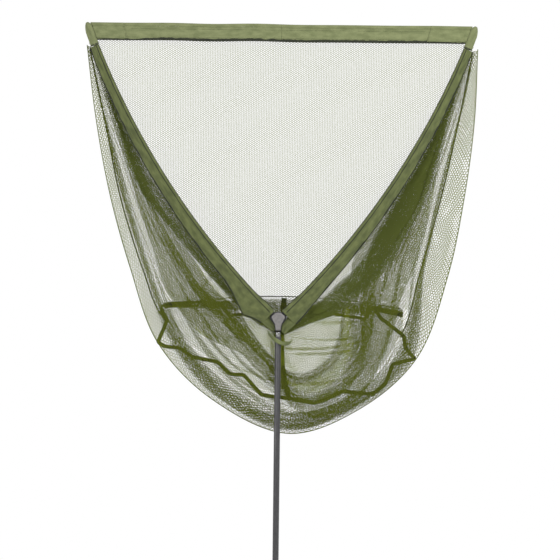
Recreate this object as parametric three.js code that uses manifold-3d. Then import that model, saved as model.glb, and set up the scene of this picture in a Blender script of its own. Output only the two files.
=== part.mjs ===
// Triangular landing net: a two-piece handle, a screw-in spreader block, two bowed arms and a deep mesh bag.
// Millimetres, +Z up along the handle. The origin is on the handle's axis at the middle of the hand grip.
// The head is laid out round its own origin, the centre of the spreader block, with the arms in the XZ plane.

import * as THREE from "three";
import { mergeVertices } from "three/addons/utils/BufferGeometryUtils.js";
import Module from "manifold-3d";

const wasm = await Module();
wasm.setup();

// ---------------------------------------------------------------- driving dimensions

const FIT_GAP = 0.3; // between pieces that touch
const ROUND_SIDES = 24;

// Handle, all heights from the block's centre
const TUBE_R = 9.3;
const TUBE_BORE_R = 8;
const HANDLE_LENGTH = 1800;
const SECTION_LENGTH = 900;
const NECK_BOTTOM_Z = -31.5;
const LOCK_RING_HEIGHT = 4.5;
const COLLAR_HEIGHT = 14;
const GRIP_LENGTH = 300;
const GRIP_R = 14;
const BUTT_CAP_HEIGHT = 22;
const SPIGOT_REACH = 95;

const COLLAR_TOP_Z = NECK_BOTTOM_Z - LOCK_RING_HEIGHT;
const TUBE_TOP_Z = COLLAR_TOP_Z - COLLAR_HEIGHT;
const JOINT_Z = TUBE_TOP_Z - SECTION_LENGTH;
const BUTT_Z = COLLAR_TOP_Z - HANDLE_LENGTH;
const GRIP_CENTRE_Z = BUTT_Z + BUTT_CAP_HEIGHT + GRIP_LENGTH / 2;

// Screw between block and handle: 3/8 inch, 20 threads to the inch
const STUD_R = 4.75;
const STUD_BORE_R = 5.1;
const STUD_REACH = 20;
const STUD_SUNK = 22;

// Spreader block
const BLOCK_THICKNESS = 30;
const BLOCK_BEVEL = 5.5;
const BARREL_R = 10;
const SOCKET_R = 6.8;
const SOCKET_START = -16;
const BARREL_END = 30;

// Arms: circular arcs that leave the block at ARM_ANGLE from vertical
const ARM_ANGLE = THREE.MathUtils.degToRad(45.5);
const ARM_BOW_R = 2385;
const ARM_LENGTH = 1040;
const ARM_START_X = 18;
const ARM_START_Z = 16;
const ARM_BUTT_R = 5.5;
const ARM_TIP_R = 3;
const FERRULE_R = 6.5;
const FERRULE_LENGTH = 62;
const TIP_CAP_R = 5;
const TIP_CAP_LENGTH = 20;

// Fabric round the rim
const CLOTH = 1;
const SLEEVE_WIDTH_BUTT = 36;
const SLEEVE_WIDTH_TIP = 18;
const POCKET_LENGTH = 66;
const HEM_TOP_Z = 887;
const HEM_BOTTOM_Z = 836;
const CORD_R = 1.5;
const CORD_Z = 880;

// Bag: depth behind the arms, and the height of the seam between back and base
const NET_FRONT_Y = 16;
const BACK_TOP_Y = 18;
const BACK_SEAM_Y = 105;
const BASE_LOW_Y = 140;
const BACK_SEAM_Z = 70;
const BACK_SEAM_DROP = 35;
const BASE_LOW_Z = -234;
const SEAM_GAP = 2.5;
const TAPE_WIDTH = 8;
const TAPE_THICKNESS = 1.4;
const STRAP_WIDTH = 12;

// ---------------------------------------------------------------- materials

const material = (color, roughness, metalness = 0) =>
  new THREE.MeshStandardMaterial({ color, roughness, metalness });

const carbon = material(0x4a494c, 0.35);
const blockPlastic = material(0x807d7c, 0.5);
const blackRubber = material(0x1c1c1c, 0.9);
const gripFoam = material(0x2a2a2b, 0.95);
const brightMetal = material(0xb9b9b6, 0.3, 1);
const brass = material(0xb89a52, 0.35, 1);
const blackPlastic = material(0x222222, 0.6);
const oliveCloth = material(0x80875a, 0.9);
const darkOliveCloth = material(0x5f6840, 0.9);
const netting = material(0xb7bba4, 0.9);
const tape = material(0x3c421f, 0.9);
const cordWhite = material(0xd8d6cc, 0.8);

// ---------------------------------------------------------------- solids

// Builds a closed geometry from vertices and triangles, and turns it inside out if it faces inwards.
function closedGeometry(vertices, triangles) {
  let volume = 0;
  const cross = new THREE.Vector3();
  for (const [a, b, c] of triangles) {
    volume += cross.crossVectors(vertices[a], vertices[b]).dot(vertices[c]);
  }
  const index = triangles.flatMap(([a, b, c]) => (volume < 0 ? [a, c, b] : [a, b, c]));
  const geometry = new THREE.BufferGeometry();
  geometry.setAttribute("position", new THREE.Float32BufferAttribute(vertices.flatMap((v) => v.toArray()), 3));
  geometry.setIndex(index);
  return geometry;
}

function toSolid(geometry) {
  const bare = geometry.clone();
  bare.deleteAttribute("normal");
  bare.deleteAttribute("uv");
  const merged = mergeVertices(bare, 1e-3);
  const mesh = new wasm.Mesh({
    numProp: 3,
    vertProperties: new Float32Array(merged.attributes.position.array),
    triVerts: new Uint32Array(merged.index.array),
  });
  return new wasm.Manifold(mesh);
}

function toGeometry(solid) {
  const { vertProperties, triVerts } = solid.getMesh();
  const geometry = new THREE.BufferGeometry();
  geometry.setAttribute("position", new THREE.Float32BufferAttribute(vertProperties, 3));
  geometry.setIndex(Array.from(triVerts));
  return geometry;
}

const cut = (body, ...tools) =>
  toGeometry(tools.reduce((solid, tool) => solid.subtract(toSolid(tool)), toSolid(body)));

const join = (body, ...others) =>
  toGeometry(others.reduce((solid, other) => solid.add(toSolid(other)), toSolid(body)));

// A closed body through rings of points, each ring with the same number of points, with a fan over each end.
function loft(rings) {
  const sides = rings[0].length;
  const vertices = rings.flat();
  const triangles = [];
  for (let ring = 0; ring < rings.length - 1; ring++) {
    for (let side = 0; side < sides; side++) {
      const a = ring * sides + side;
      const b = ring * sides + ((side + 1) % sides);
      triangles.push([a, b, b + sides], [a, b + sides, a + sides]);
    }
  }
  for (const first of [0, (rings.length - 1) * sides]) {
    const centre = new THREE.Vector3();
    for (let side = 0; side < sides; side++) {
      centre.addScaledVector(vertices[first + side], 1 / sides);
    }
    const tip = vertices.push(centre) - 1;
    for (let side = 0; side < sides; side++) {
      const a = first + side;
      const b = first + ((side + 1) % sides);
      triangles.push(first === 0 ? [b, a, tip] : [a, b, tip]);
    }
  }
  return closedGeometry(vertices, triangles);
}

// A thin closed panel, CLOTH thick, on the surface that point(u, v) gives for u and v from 0 to 1.
function panel(point, uSteps, vSteps) {
  const step = 0.01;
  const front = [];
  const back = [];
  for (let i = 0; i <= uSteps; i++) {
    for (let j = 0; j <= vSteps; j++) {
      const u = i / uSteps;
      const v = j / vSteps;
      const alongU = point(Math.min(u + step, 1), v).sub(point(Math.max(u - step, 0), v));
      const alongV = point(u, Math.min(v + step, 1)).sub(point(u, Math.max(v - step, 0)));
      const normal = alongU.cross(alongV).normalize();
      front.push(point(u, v).addScaledVector(normal, CLOTH / 2));
      back.push(point(u, v).addScaledVector(normal, -CLOTH / 2));
    }
  }
  const count = front.length;
  const triangles = [];
  const row = vSteps + 1;
  for (let i = 0; i < uSteps; i++) {
    for (let j = 0; j < vSteps; j++) {
      const a = i * row + j;
      triangles.push([a, a + row, a + row + 1], [a, a + row + 1, a + 1]);
      triangles.push([count + a, count + a + row + 1, count + a + row], [count + a, count + a + 1, count + a + row + 1]);
    }
  }
  const rim = [];
  for (let j = 0; j < vSteps; j++) rim.push(j);
  for (let i = 0; i < uSteps; i++) rim.push(i * row + vSteps);
  for (let j = vSteps; j > 0; j--) rim.push(uSteps * row + j);
  for (let i = uSteps; i > 0; i--) rim.push(i * row);
  rim.forEach((a, place) => {
    const b = rim[(place + 1) % rim.length];
    triangles.push([a, b, b + count], [a, b + count, a + count]);
  });
  return closedGeometry([...front, ...back], triangles);
}

// A flat strip along a curve. facing(point) gives the direction that the strip's flat side faces.
function strip(curve, width, thickness, steps, facing) {
  const rings = [];
  for (let i = 0; i <= steps; i++) {
    const point = curve.getPoint(i / steps);
    const normal = facing(point);
    const across = curve.getTangent(i / steps).cross(normal).normalize().multiplyScalar(width / 2);
    normal.multiplyScalar(thickness / 2);
    rings.push([
      point.clone().add(across).add(normal),
      point.clone().sub(across).add(normal),
      point.clone().sub(across).sub(normal),
      point.clone().add(across).sub(normal),
    ]);
  }
  return loft(rings);
}

// A body of revolution about the Z axis. The profile is [radius, height] pairs, and closes on itself.
function turned(profile, sides = ROUND_SIDES) {
  const points = profile.map(([radius, height]) => new THREE.Vector2(radius, height));
  const closed = profile[0][0] > 0 || profile[profile.length - 1][0] > 0;
  if (closed) points.push(points[0].clone());
  return new THREE.LatheGeometry(points, sides).rotateX(Math.PI / 2);
}

const tube = (innerR, outerR, bottomZ, topZ) =>
  turned([
    [innerR, bottomZ],
    [outerR, bottomZ],
    [outerR, topZ],
    [innerR, topZ],
  ]);

// ---------------------------------------------------------------- arms

const armAngle = (s) => ARM_ANGLE - Math.max(s, 0) / ARM_BOW_R;

// The point s along an arm's centre line from the block, moved out from the opening by across, and back by y.
// side is -1 on the left and 1 on the right.
function armPoint(side, s, across = 0, y = 0) {
  const angle = armAngle(s);
  const straight = Math.min(s, 0);
  const x = ARM_START_X + ARM_BOW_R * (Math.cos(angle) - Math.cos(ARM_ANGLE)) + straight * Math.sin(ARM_ANGLE);
  const z = ARM_START_Z + ARM_BOW_R * (Math.sin(ARM_ANGLE) - Math.sin(angle)) + straight * Math.cos(ARM_ANGLE);
  return new THREE.Vector3(side * (x + across * Math.cos(angle)), y, z - across * Math.sin(angle));
}

const stations = (from, to, steps) =>
  Array.from({ length: steps + 1 }, (_, i) => from + ((to - from) * i) / steps);

// A round bar along an arm, whose radius at s is radiusAt(s).
function armBar(side, from, to, steps, radiusAt, sides = 10) {
  const ring = (s) =>
    Array.from({ length: sides }, (_, i) => {
      const turn = (2 * Math.PI * i) / sides;
      return armPoint(side, s, radiusAt(s) * Math.cos(turn), radiusAt(s) * Math.sin(turn));
    });
  return loft(stations(from, to, steps).map(ring));
}

const rodRadius = (s) =>
  THREE.MathUtils.lerp(ARM_BUTT_R, ARM_TIP_R, THREE.MathUtils.clamp(s / ARM_LENGTH, 0, 1));

const RIM_START = SOCKET_START + FIT_GAP * 2;

const armRod = (side) => armBar(side, RIM_START, ARM_LENGTH - FIT_GAP, 26, rodRadius, 8);

function armFerrule(side) {
  const outer = armBar(side, RIM_START, RIM_START + FERRULE_LENGTH, 6, () => FERRULE_R, 12);
  const bore = armBar(side, RIM_START - 5, RIM_START + FERRULE_LENGTH + 5, 6, (s) => rodRadius(s) + FIT_GAP, 12);
  return cut(outer, bore);
}

function armTipCap(side) {
  const outer = armBar(side, ARM_LENGTH - TIP_CAP_LENGTH, ARM_LENGTH + 2, 3, () => TIP_CAP_R, 12);
  const bore = armBar(side, ARM_LENGTH - TIP_CAP_LENGTH - 5, ARM_LENGTH, 3, (s) => rodRadius(s) + FIT_GAP, 12);
  return cut(outer, bore);
}

// The cord ends in a loop that lies round the arm just below its tip cap.
function cordLoop(side) {
  const place = ARM_LENGTH - TIP_CAP_LENGTH - CORD_R - 1;
  const centre = armPoint(side, place);
  const loop = new THREE.TorusGeometry(rodRadius(place) + CORD_R + FIT_GAP, CORD_R, 6, 16);
  loop.rotateY(side * armAngle(place));
  loop.translate(centre.x, centre.y, centre.z);
  return loop;
}

// Section of a sleeve: round on the side of the opening, where the arm lies, and flat on the side of the bag.
function sleeveSection(side, s, roundR, width) {
  const place = (across, y) => armPoint(side, s, across, y);
  const arc = stations(Math.PI / 2, (3 * Math.PI) / 2, 6).map((turn) =>
    place(roundR * Math.cos(turn), roundR * Math.sin(turn)),
  );
  const slack = roundR * 0.55;
  return [
    ...arc,
    place(width * 0.45, -slack),
    place(width, -roundR * 0.18),
    place(width, roundR * 0.18),
    place(width * 0.45, slack),
  ];
}

const sleeveWidth = (s) => THREE.MathUtils.lerp(SLEEVE_WIDTH_BUTT, SLEEVE_WIDTH_TIP, s / ARM_LENGTH);

// The sleeve is widest where it covers the block's barrel and closes in on the rod beyond it.
const sleeveRound = (s) =>
  THREE.MathUtils.lerp(
    BARREL_R + 3,
    THREE.MathUtils.lerp(9.5, 7.5, s / ARM_LENGTH),
    THREE.MathUtils.smoothstep(s, BARREL_END + 6, BARREL_END + 60),
  );

// Its stations crowd towards the block, where its section changes.
function armSleeve(side) {
  const from = 3;
  const to = ARM_LENGTH - POCKET_LENGTH - 2;
  const crowded = (start, end) => stations(0, 1, 15).map((part) => start + (end - start) * part ** 1.5);
  const outer = crowded(from, to).map((s) => sleeveSection(side, s, sleeveRound(s), sleeveWidth(s)));
  const inner = crowded(from - 6, to + 6).map((s) =>
    sleeveSection(side, s, sleeveRound(s) - CLOTH, sleeveWidth(s) * 0.6),
  );
  return cut(loft(outer), loft(inner));
}

// The pocket over an arm's tip is closed at the top and open towards the sleeve.
function cornerPocket(side) {
  const from = ARM_LENGTH - POCKET_LENGTH;
  const to = ARM_LENGTH + 6;
  const round = (s) => sleeveRound(s) + 1.5;
  const outer = stations(from, to, 5).map((s) => sleeveSection(side, s, round(s), sleeveWidth(s) - 6));
  const inner = stations(from - 6, to - 2, 5).map((s) =>
    sleeveSection(side, s, round(s) - CLOTH, sleeveWidth(s) * 0.6),
  );
  return cut(loft(outer), loft(inner));
}

// ---------------------------------------------------------------- top edge

// The hem hangs from the cord between the two corner pockets, with its ends cut to the line of the arms.
function topHem() {
  const middleZ = (HEM_TOP_Z + HEM_BOTTOM_Z) / 2;
  const half = (HEM_TOP_Z - HEM_BOTTOM_Z) / 2;
  const section = [
    [2.6, half - 4],
    [0, half],
    [-2.6, half - 4],
    [-3.4, half - 9],
    [-1.6, 0],
    [-1.3, -half],
    [1.3, -half],
    [1.6, 0],
    [3.4, half - 9],
  ];
  const endX = (z) => armPoint(1, ARM_LENGTH - (CORD_Z - z)).x - 13;
  const ring = (place, shrink) =>
    section.map(([y, z]) => {
      const height = middleZ + z * shrink;
      return new THREE.Vector3(place * endX(height), y * (shrink < 1 ? 0.75 : 1), height);
    });
  const outer = loft(stations(-1, 1, 8).map((place) => ring(place, 1)));
  const channel = new THREE.CylinderGeometry(CORD_R + FIT_GAP, CORD_R + FIT_GAP, 1400, 8);
  channel.rotateZ(Math.PI / 2);
  channel.translate(0, 0, CORD_Z - 2);
  return cut(outer, channel);
}

function spreaderCord() {
  const length = 2 * (armPoint(1, ARM_LENGTH - TIP_CAP_LENGTH).x - 12);
  const cord = new THREE.CylinderGeometry(CORD_R, CORD_R, length, 8);
  cord.rotateZ(Math.PI / 2);
  cord.translate(0, 0, CORD_Z - 2);
  return cord;
}

// ---------------------------------------------------------------- bag

// How far back the rear of the bag lies at a height.
function backY(z) {
  const down = THREE.MathUtils.clamp((HEM_BOTTOM_Z - z) / (HEM_BOTTOM_Z - BACK_SEAM_Z), 0, 1);
  const below = THREE.MathUtils.clamp((BACK_SEAM_Z - z) / (BACK_SEAM_Z - BASE_LOW_Z), 0, 1);
  return THREE.MathUtils.lerp(BACK_TOP_Y, BACK_SEAM_Y, down) + (BASE_LOW_Y - BACK_SEAM_Y) * below;
}

// Rows of the side panels, from the left corner round under the block to the right corner:
// the distance along the arm that the row hangs from, its outermost fold, and where it is sewn to the back.
const SIDE_ROWS = [
  { side: -1, s: 960, fold: [-577, 790], seam: [-566, 775] },
  { side: -1, s: 740, fold: [-549, 594], seam: [-526, 590] },
  { side: -1, s: 500, fold: [-506, 370], seam: [-478, 365] },
  { side: -1, s: 270, fold: [-443, 150], seam: [-405, 140] },
  { side: -1, s: 80, fold: [-360, -70], seam: [-350, 10] },
  { side: -1, s: 5, fold: [-200, -236], seam: [-200, -125] },
  { side: 1, s: null, fold: [35, -340], seam: [35, -234] },
  { side: 1, s: 5, fold: [242, -267], seam: [250, -205] },
  { side: 1, s: 80, fold: [414, -112], seam: [375, -30] },
  { side: 1, s: 270, fold: [505, 136], seam: [420, 130] },
  { side: 1, s: 500, fold: [550, 366], seam: [484, 370] },
  { side: 1, s: 740, fold: [577, 594], seam: [533, 594] },
  { side: 1, s: 960, fold: [583, 790], seam: [566, 775] },
];
const UNDER_BLOCK = new THREE.Vector3(0, NET_FRONT_Y + 1, -24);
const LAST_ROW = SIDE_ROWS.length - 1;
const MIDDLE_ROW = LAST_ROW / 2;
const BASE_FIRST_ROW = 4;
const BASE_LAST_ROW = 8;

const curveThrough = (points) => new THREE.CatmullRomCurve3(points, false, "centripetal");

const hangLine = curveThrough(
  SIDE_ROWS.map(({ side, s }) =>
    s === null ? UNDER_BLOCK : armPoint(side, s, sleeveWidth(s) - 4, NET_FRONT_Y),
  ),
);
const foldLine = curveThrough(SIDE_ROWS.map(({ fold: [x, z] }) => new THREE.Vector3(x, 0, z)));
const seamLine = curveThrough(SIDE_ROWS.map(({ seam: [x, z] }) => new THREE.Vector3(x, backY(z), z)));

// Each row of a side panel is two quarters of an ellipse: from the arm out to its fold, and on back to the seam.
function sidePoint(row, v) {
  const u = row / LAST_ROW;
  const hang = hangLine.getPoint(u);
  const seam = seamLine.getPoint(u);
  const turn = Math.PI * v;
  const y = THREE.MathUtils.lerp(hang.y, seam.y, (1 - Math.cos(turn)) / 2);
  const edge = v < 0.5 ? hang : seam;
  return edge.lerp(foldLine.getPoint(u), Math.sin(turn)).setY(y);
}

const sideNetting = (fromRow, toRow) =>
  panel((u, v) => sidePoint(THREE.MathUtils.lerp(fromRow, toRow, u), v), 24, 10);

// The seam that joins the back to the base: highest in the middle, lower towards its ends.
function backSeamPoint(u) {
  const left = SIDE_ROWS[BASE_FIRST_ROW].seam[0];
  const right = SIDE_ROWS[BASE_LAST_ROW].seam[0];
  const x = THREE.MathUtils.lerp(left, right, u);
  const off = x / (x < 0 ? left : right);
  const z = BACK_SEAM_Z - BACK_SEAM_DROP * off * off;
  return new THREE.Vector3(x, backY(z), z);
}

// The x of a side seam at a height, on the rows above the base.
function seamX(side, z) {
  const rows = SIDE_ROWS.filter((row) => row.side === side && row.s !== null && row.s >= 80);
  rows.sort((a, b) => a.seam[1] - b.seam[1]);
  const found = rows.findIndex((row) => row.seam[1] > z);
  const above = found < 0 ? rows.length - 1 : Math.max(found, 1);
  const [lowX, lowZ] = rows[above - 1].seam;
  const [highX, highZ] = rows[above].seam;
  return THREE.MathUtils.lerp(lowX, highX, (z - lowZ) / (highZ - lowZ));
}

function backNetting() {
  const topZ = HEM_BOTTOM_Z - SEAM_GAP;
  return panel((u, v) => {
    const bottomZ = backSeamPoint(u).z + SEAM_GAP;
    const z = THREE.MathUtils.lerp(topZ, bottomZ, v);
    const left = seamX(-1, z) + SEAM_GAP;
    const right = seamX(1, z) - SEAM_GAP;
    return new THREE.Vector3(THREE.MathUtils.lerp(left, right, u), backY(z), z);
  }, 10, 12);
}

function baseNetting() {
  return panel((u, v) => {
    const inset = THREE.MathUtils.lerp(0.02, 0.98, u);
    const row = THREE.MathUtils.lerp(BASE_FIRST_ROW, BASE_LAST_ROW, inset);
    const top = backSeamPoint(inset);
    const low = seamLine.getPoint(row / LAST_ROW);
    top.z -= SEAM_GAP;
    low.z += SEAM_GAP * 1.5;
    return top.lerp(low, v);
  }, 16, 8);
}

// ---------------------------------------------------------------- tapes and strap

const behind = (point, distance) => point.clone().add(new THREE.Vector3(0, distance, 0));
const backwards = () => new THREE.Vector3(0, 1, 0);

function backSeamTape() {
  const points = stations(0.03, 0.97, 12).map((u) => behind(backSeamPoint(u), 4));
  return strip(curveThrough(points), TAPE_WIDTH, TAPE_THICKNESS, 24, backwards);
}

function baseSeamTape() {
  const points = stations(BASE_FIRST_ROW + 0.2, BASE_LAST_ROW - 0.2, 16).map((row) =>
    behind(seamLine.getPoint(row / LAST_ROW), 4),
  );
  return strip(curveThrough(points), TAPE_WIDTH, TAPE_THICKNESS, 32, backwards);
}

function centreTape() {
  const clear = TAPE_WIDTH / 2 + 3;
  const points = [
    new THREE.Vector3(16, 0, BACK_SEAM_Z - clear),
    new THREE.Vector3(16, 0, -75),
    new THREE.Vector3(28, 0, -195),
    new THREE.Vector3(35, 0, BASE_LOW_Z + clear),
  ].map((point) => point.setY(backY(point.z) + 4));
  return strip(curveThrough(points), TAPE_WIDTH, TAPE_THICKNESS, 12, backwards);
}

// A loop of webbing from the sleeves' lower ends, lying across the front of the handle.
function retainingStrap() {
  const route = [
    [-31, 10, -38],
    [-25, 0, -44],
    [-13, -10, -55],
    [4, -13, -66],
    [20, -8, -71],
    [33, 2, -69],
    [41, 10, -63],
  ].map(([x, y, z]) => new THREE.Vector3(x, y, z));
  const outwards = (point) => new THREE.Vector3(point.x - 4, point.y - 8, 0).normalize();
  return strip(curveThrough(route), STRAP_WIDTH, TAPE_THICKNESS, 20, outwards);
}

// ---------------------------------------------------------------- block and screw

// Front face of the block: a shield that narrows to the neck. The bevel all round widens it behind.
function spreaderBlock() {
  const half = [
    [4, 19],
    [18.5, 9],
    [19, 4],
    [5, -14],
    [4.5, NECK_BOTTOM_Z + BLOCK_BEVEL],
  ];
  const outline = new THREE.Shape([
    ...half.map(([x, z]) => new THREE.Vector2(x, z)),
    ...half.reverse().map(([x, z]) => new THREE.Vector2(-x, z)),
  ]);
  const body = new THREE.ExtrudeGeometry(outline, {
    depth: BLOCK_THICKNESS - 2 * BLOCK_BEVEL,
    bevelSize: BLOCK_BEVEL,
    bevelThickness: BLOCK_BEVEL,
    bevelSegments: 2,
  });
  body.translate(0, 0, BLOCK_BEVEL - BLOCK_THICKNESS / 2);
  body.rotateX(Math.PI / 2);
  const barrels = [-1, 1].map((side) => armBar(side, SOCKET_START, BARREL_END, 1, () => BARREL_R, ROUND_SIDES));
  const sockets = [-1, 1].map((side) => armBar(side, SOCKET_START, BARREL_END + 5, 1, () => SOCKET_R, ROUND_SIDES));
  const studBore = turned([
    [0, NECK_BOTTOM_Z - 5],
    [STUD_BORE_R, NECK_BOTTOM_Z - 5],
    [STUD_BORE_R, NECK_BOTTOM_Z + STUD_SUNK + FIT_GAP],
    [0, NECK_BOTTOM_Z + STUD_SUNK + FIT_GAP],
  ]);
  return cut(join(body, ...barrels), ...sockets, studBore);
}

const threadedStud = () =>
  turned([
    [0, NECK_BOTTOM_Z - STUD_REACH],
    [STUD_R - 1, NECK_BOTTOM_Z - STUD_REACH],
    [STUD_R, NECK_BOTTOM_Z - STUD_REACH + 1],
    [STUD_R, NECK_BOTTOM_Z + STUD_SUNK],
    [0, NECK_BOTTOM_Z + STUD_SUNK],
  ]);

const lockRing = () => tube(STUD_BORE_R, TUBE_R, COLLAR_TOP_Z + FIT_GAP, NECK_BOTTOM_Z - FIT_GAP);

// ---------------------------------------------------------------- handle

function threadedInsert() {
  const shankR = TUBE_BORE_R - FIT_GAP;
  const shankEndZ = TUBE_TOP_Z - 40;
  const threadEndZ = COLLAR_TOP_Z - STUD_REACH - 4;
  return turned([
    [0, shankEndZ],
    [shankR, shankEndZ],
    [shankR, TUBE_TOP_Z],
    [TUBE_R - 0.8, TUBE_TOP_Z],
    [TUBE_R - 0.8, COLLAR_TOP_Z - 0.8],
    [TUBE_R - 1.6, COLLAR_TOP_Z],
    [STUD_BORE_R, COLLAR_TOP_Z],
    [STUD_BORE_R, threadEndZ],
    [0, threadEndZ],
  ]);
}

const upperTube = () => tube(TUBE_BORE_R, TUBE_R, JOINT_Z + FIT_GAP, TUBE_TOP_Z - FIT_GAP);
const spigot = () => tube(5.6, TUBE_BORE_R - FIT_GAP, JOINT_Z - SPIGOT_REACH, JOINT_Z + 120);
const lowerTube = () => tube(TUBE_BORE_R, TUBE_R, BUTT_Z + 4, JOINT_Z - FIT_GAP);
const jointRing = () => tube(TUBE_R + FIT_GAP, TUBE_R + 1.6, JOINT_Z - 28, JOINT_Z - 2);

function handGrip() {
  const bottomZ = GRIP_CENTRE_Z - GRIP_LENGTH / 2 + FIT_GAP;
  const topZ = GRIP_CENTRE_Z + GRIP_LENGTH / 2;
  const boreR = TUBE_R + FIT_GAP;
  return turned([
    [boreR, bottomZ],
    [GRIP_R - 1.5, bottomZ],
    [GRIP_R, bottomZ + 3],
    [GRIP_R, topZ - 24],
    [GRIP_R - 1.5, topZ - 10],
    [boreR + 1, topZ],
    [boreR, topZ],
  ]);
}

function buttCap() {
  const topZ = BUTT_Z + BUTT_CAP_HEIGHT;
  const boreR = TUBE_R + FIT_GAP;
  return turned([
    [0, BUTT_Z],
    [GRIP_R - 2, BUTT_Z],
    [GRIP_R - 0.5, BUTT_Z + 2],
    [GRIP_R - 0.5, topZ],
    [boreR, topZ],
    [boreR, BUTT_Z + 4 - FIT_GAP],
    [0, BUTT_Z + 4 - FIT_GAP],
  ]);
}

// ---------------------------------------------------------------- assembly

const landingNet = new THREE.Group();
landingNet.position.z = -GRIP_CENTRE_Z;

function add(name, geometry, look) {
  const mesh = new THREE.Mesh(geometry, look);
  mesh.name = name;
  landingNet.add(mesh);
}

add("lower_handle_tube", lowerTube(), carbon);
add("joint_ring", jointRing(), blackPlastic);
add("hand_grip", handGrip(), gripFoam);
add("butt_cap", buttCap(), blackRubber);

add("upper_handle_tube", upperTube(), carbon);
add("spigot", spigot(), carbon);
add("threaded_insert", threadedInsert(), brightMetal);

add("lock_ring", lockRing(), blackRubber);

add("spreader_block", spreaderBlock(), blockPlastic);
add("threaded_stud", threadedStud(), brass);

for (const [name, side] of [["left", -1], ["right", 1]]) {
  add(`${name}_arm_rod`, armRod(side), carbon);
  add(`${name}_arm_ferrule`, armFerrule(side), blackPlastic);
  add(`${name}_tip_cap`, armTipCap(side), blackPlastic);
  add(`${name}_cord_loop`, cordLoop(side), cordWhite);
  add(`${name}_arm_sleeve`, armSleeve(side), darkOliveCloth);
  add(`${name}_corner_pocket`, cornerPocket(side), oliveCloth);
}

add("spreader_cord", spreaderCord(), cordWhite);
add("top_hem", topHem(), oliveCloth);
add("left_side_netting", sideNetting(0, MIDDLE_ROW - 0.02), netting);
add("right_side_netting", sideNetting(MIDDLE_ROW + 0.02, LAST_ROW), netting);
add("back_netting", backNetting(), netting);
add("base_netting", baseNetting(), netting);
add("back_seam_tape", backSeamTape(), tape);
add("base_seam_tape", baseSeamTape(), tape);
add("centre_tape", centreTape(), tape);
add("retaining_strap", retainingStrap(), darkOliveCloth);

export default landingNet;
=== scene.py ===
"""Looks for the landing net: netting made strand by strand, sewn cloth round the rim, and a turned handle.

Lengths are millimetres from the centre of the spreader block until a mesh is made, and metres after that.
"""

import bpy
import numpy as np
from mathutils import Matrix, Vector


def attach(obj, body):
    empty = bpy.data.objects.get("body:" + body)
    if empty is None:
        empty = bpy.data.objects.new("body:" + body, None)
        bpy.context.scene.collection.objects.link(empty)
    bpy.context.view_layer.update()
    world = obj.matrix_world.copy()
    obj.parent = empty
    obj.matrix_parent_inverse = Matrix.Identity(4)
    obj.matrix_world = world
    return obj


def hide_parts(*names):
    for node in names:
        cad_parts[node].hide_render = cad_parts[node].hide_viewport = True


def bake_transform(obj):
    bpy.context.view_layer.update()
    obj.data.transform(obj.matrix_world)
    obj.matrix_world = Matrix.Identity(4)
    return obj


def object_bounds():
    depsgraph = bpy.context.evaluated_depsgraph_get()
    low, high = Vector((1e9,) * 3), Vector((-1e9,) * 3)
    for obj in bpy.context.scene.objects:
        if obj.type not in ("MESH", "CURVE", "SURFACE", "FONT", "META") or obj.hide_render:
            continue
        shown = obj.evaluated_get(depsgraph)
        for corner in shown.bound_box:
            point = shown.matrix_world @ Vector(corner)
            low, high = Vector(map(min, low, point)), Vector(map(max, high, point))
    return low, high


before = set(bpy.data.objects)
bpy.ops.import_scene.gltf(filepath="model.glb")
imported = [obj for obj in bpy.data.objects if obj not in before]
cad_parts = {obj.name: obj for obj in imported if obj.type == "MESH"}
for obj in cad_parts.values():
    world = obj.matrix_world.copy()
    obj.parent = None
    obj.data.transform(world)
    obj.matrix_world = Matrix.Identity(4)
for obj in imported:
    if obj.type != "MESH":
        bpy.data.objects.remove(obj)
cad_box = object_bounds()

# ---------------------------------------------------------------- driving dimensions, as in the CAD

GRIP_TO_BLOCK = 1664

TUBE_R = 9.3
TUBE_BORE_R = 8
COLLAR_TOP_Z = -36
NECK_BOTTOM_Z = -31.5
TUBE_TOP_Z = COLLAR_TOP_Z - 14
JOINT_Z = TUBE_TOP_Z - 900
BUTT_Z = COLLAR_TOP_Z - 1800
GRIP_BOTTOM_Z = BUTT_Z + 22
GRIP_LENGTH = 300
GRIP_R = 14
FIT_GAP = 0.3

STUD_R = 4.75
STUD_BORE_R = 5.1
STUD_REACH = 20
STUD_SUNK = 22
THREAD_PITCH = 1.27

ARM_ANGLE = np.radians(45.5)
ARM_BOW_R = 2385
ARM_LENGTH = 1040
ARM_START_X = 18
ARM_START_Z = 16

HEM_TOP_Z = 887
HEM_BOTTOM_Z = 836
CORD_Z = 880
CORD_R = 1.5
CLOTH = 0.8

BACK_TOP_Y = 18
BACK_SEAM_Y = 105
BASE_LOW_Y = 140
BACK_SEAM_Z = 70
BACK_SEAM_DROP = 35
BASE_LOW_Z = -234
NET_FRONT_Y = 16

# Netting: hexagons in rows, MESH_X along a row and MESH_Y between rows
COARSE = 1.0
MESH_X = 5.0 * COARSE
MESH_Y = 3.06 * COARSE
MESH_BAR = 3.0 * COARSE
STRAND = 0.92 * COARSE
STRAND_DEPTH = 0.6 * COARSE
CELL_AREA = 2 * MESH_X * MESH_Y
CELL_STRAND = MESH_BAR + 2 * np.hypot(MESH_X - MESH_BAR, MESH_Y)
SIDE_SCALE = 1.4
BASE_SCALE = 1.25

# ---------------------------------------------------------------- materials


def shader(name, colour, roughness, metallic=0.0, **inputs):
    """A material with one Principled shader. Extra sockets are named with _ for a space."""
    material = bpy.data.materials.new(name)
    material.use_nodes = True
    surface = material.node_tree.nodes["Principled BSDF"]
    surface.inputs["Base Color"].default_value = (*colour, 1)
    surface.inputs["Roughness"].default_value = roughness
    surface.inputs["Metallic"].default_value = metallic
    for socket, value in inputs.items():
        surface.inputs[socket.replace("_", " ")].default_value = value
    return material


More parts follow.
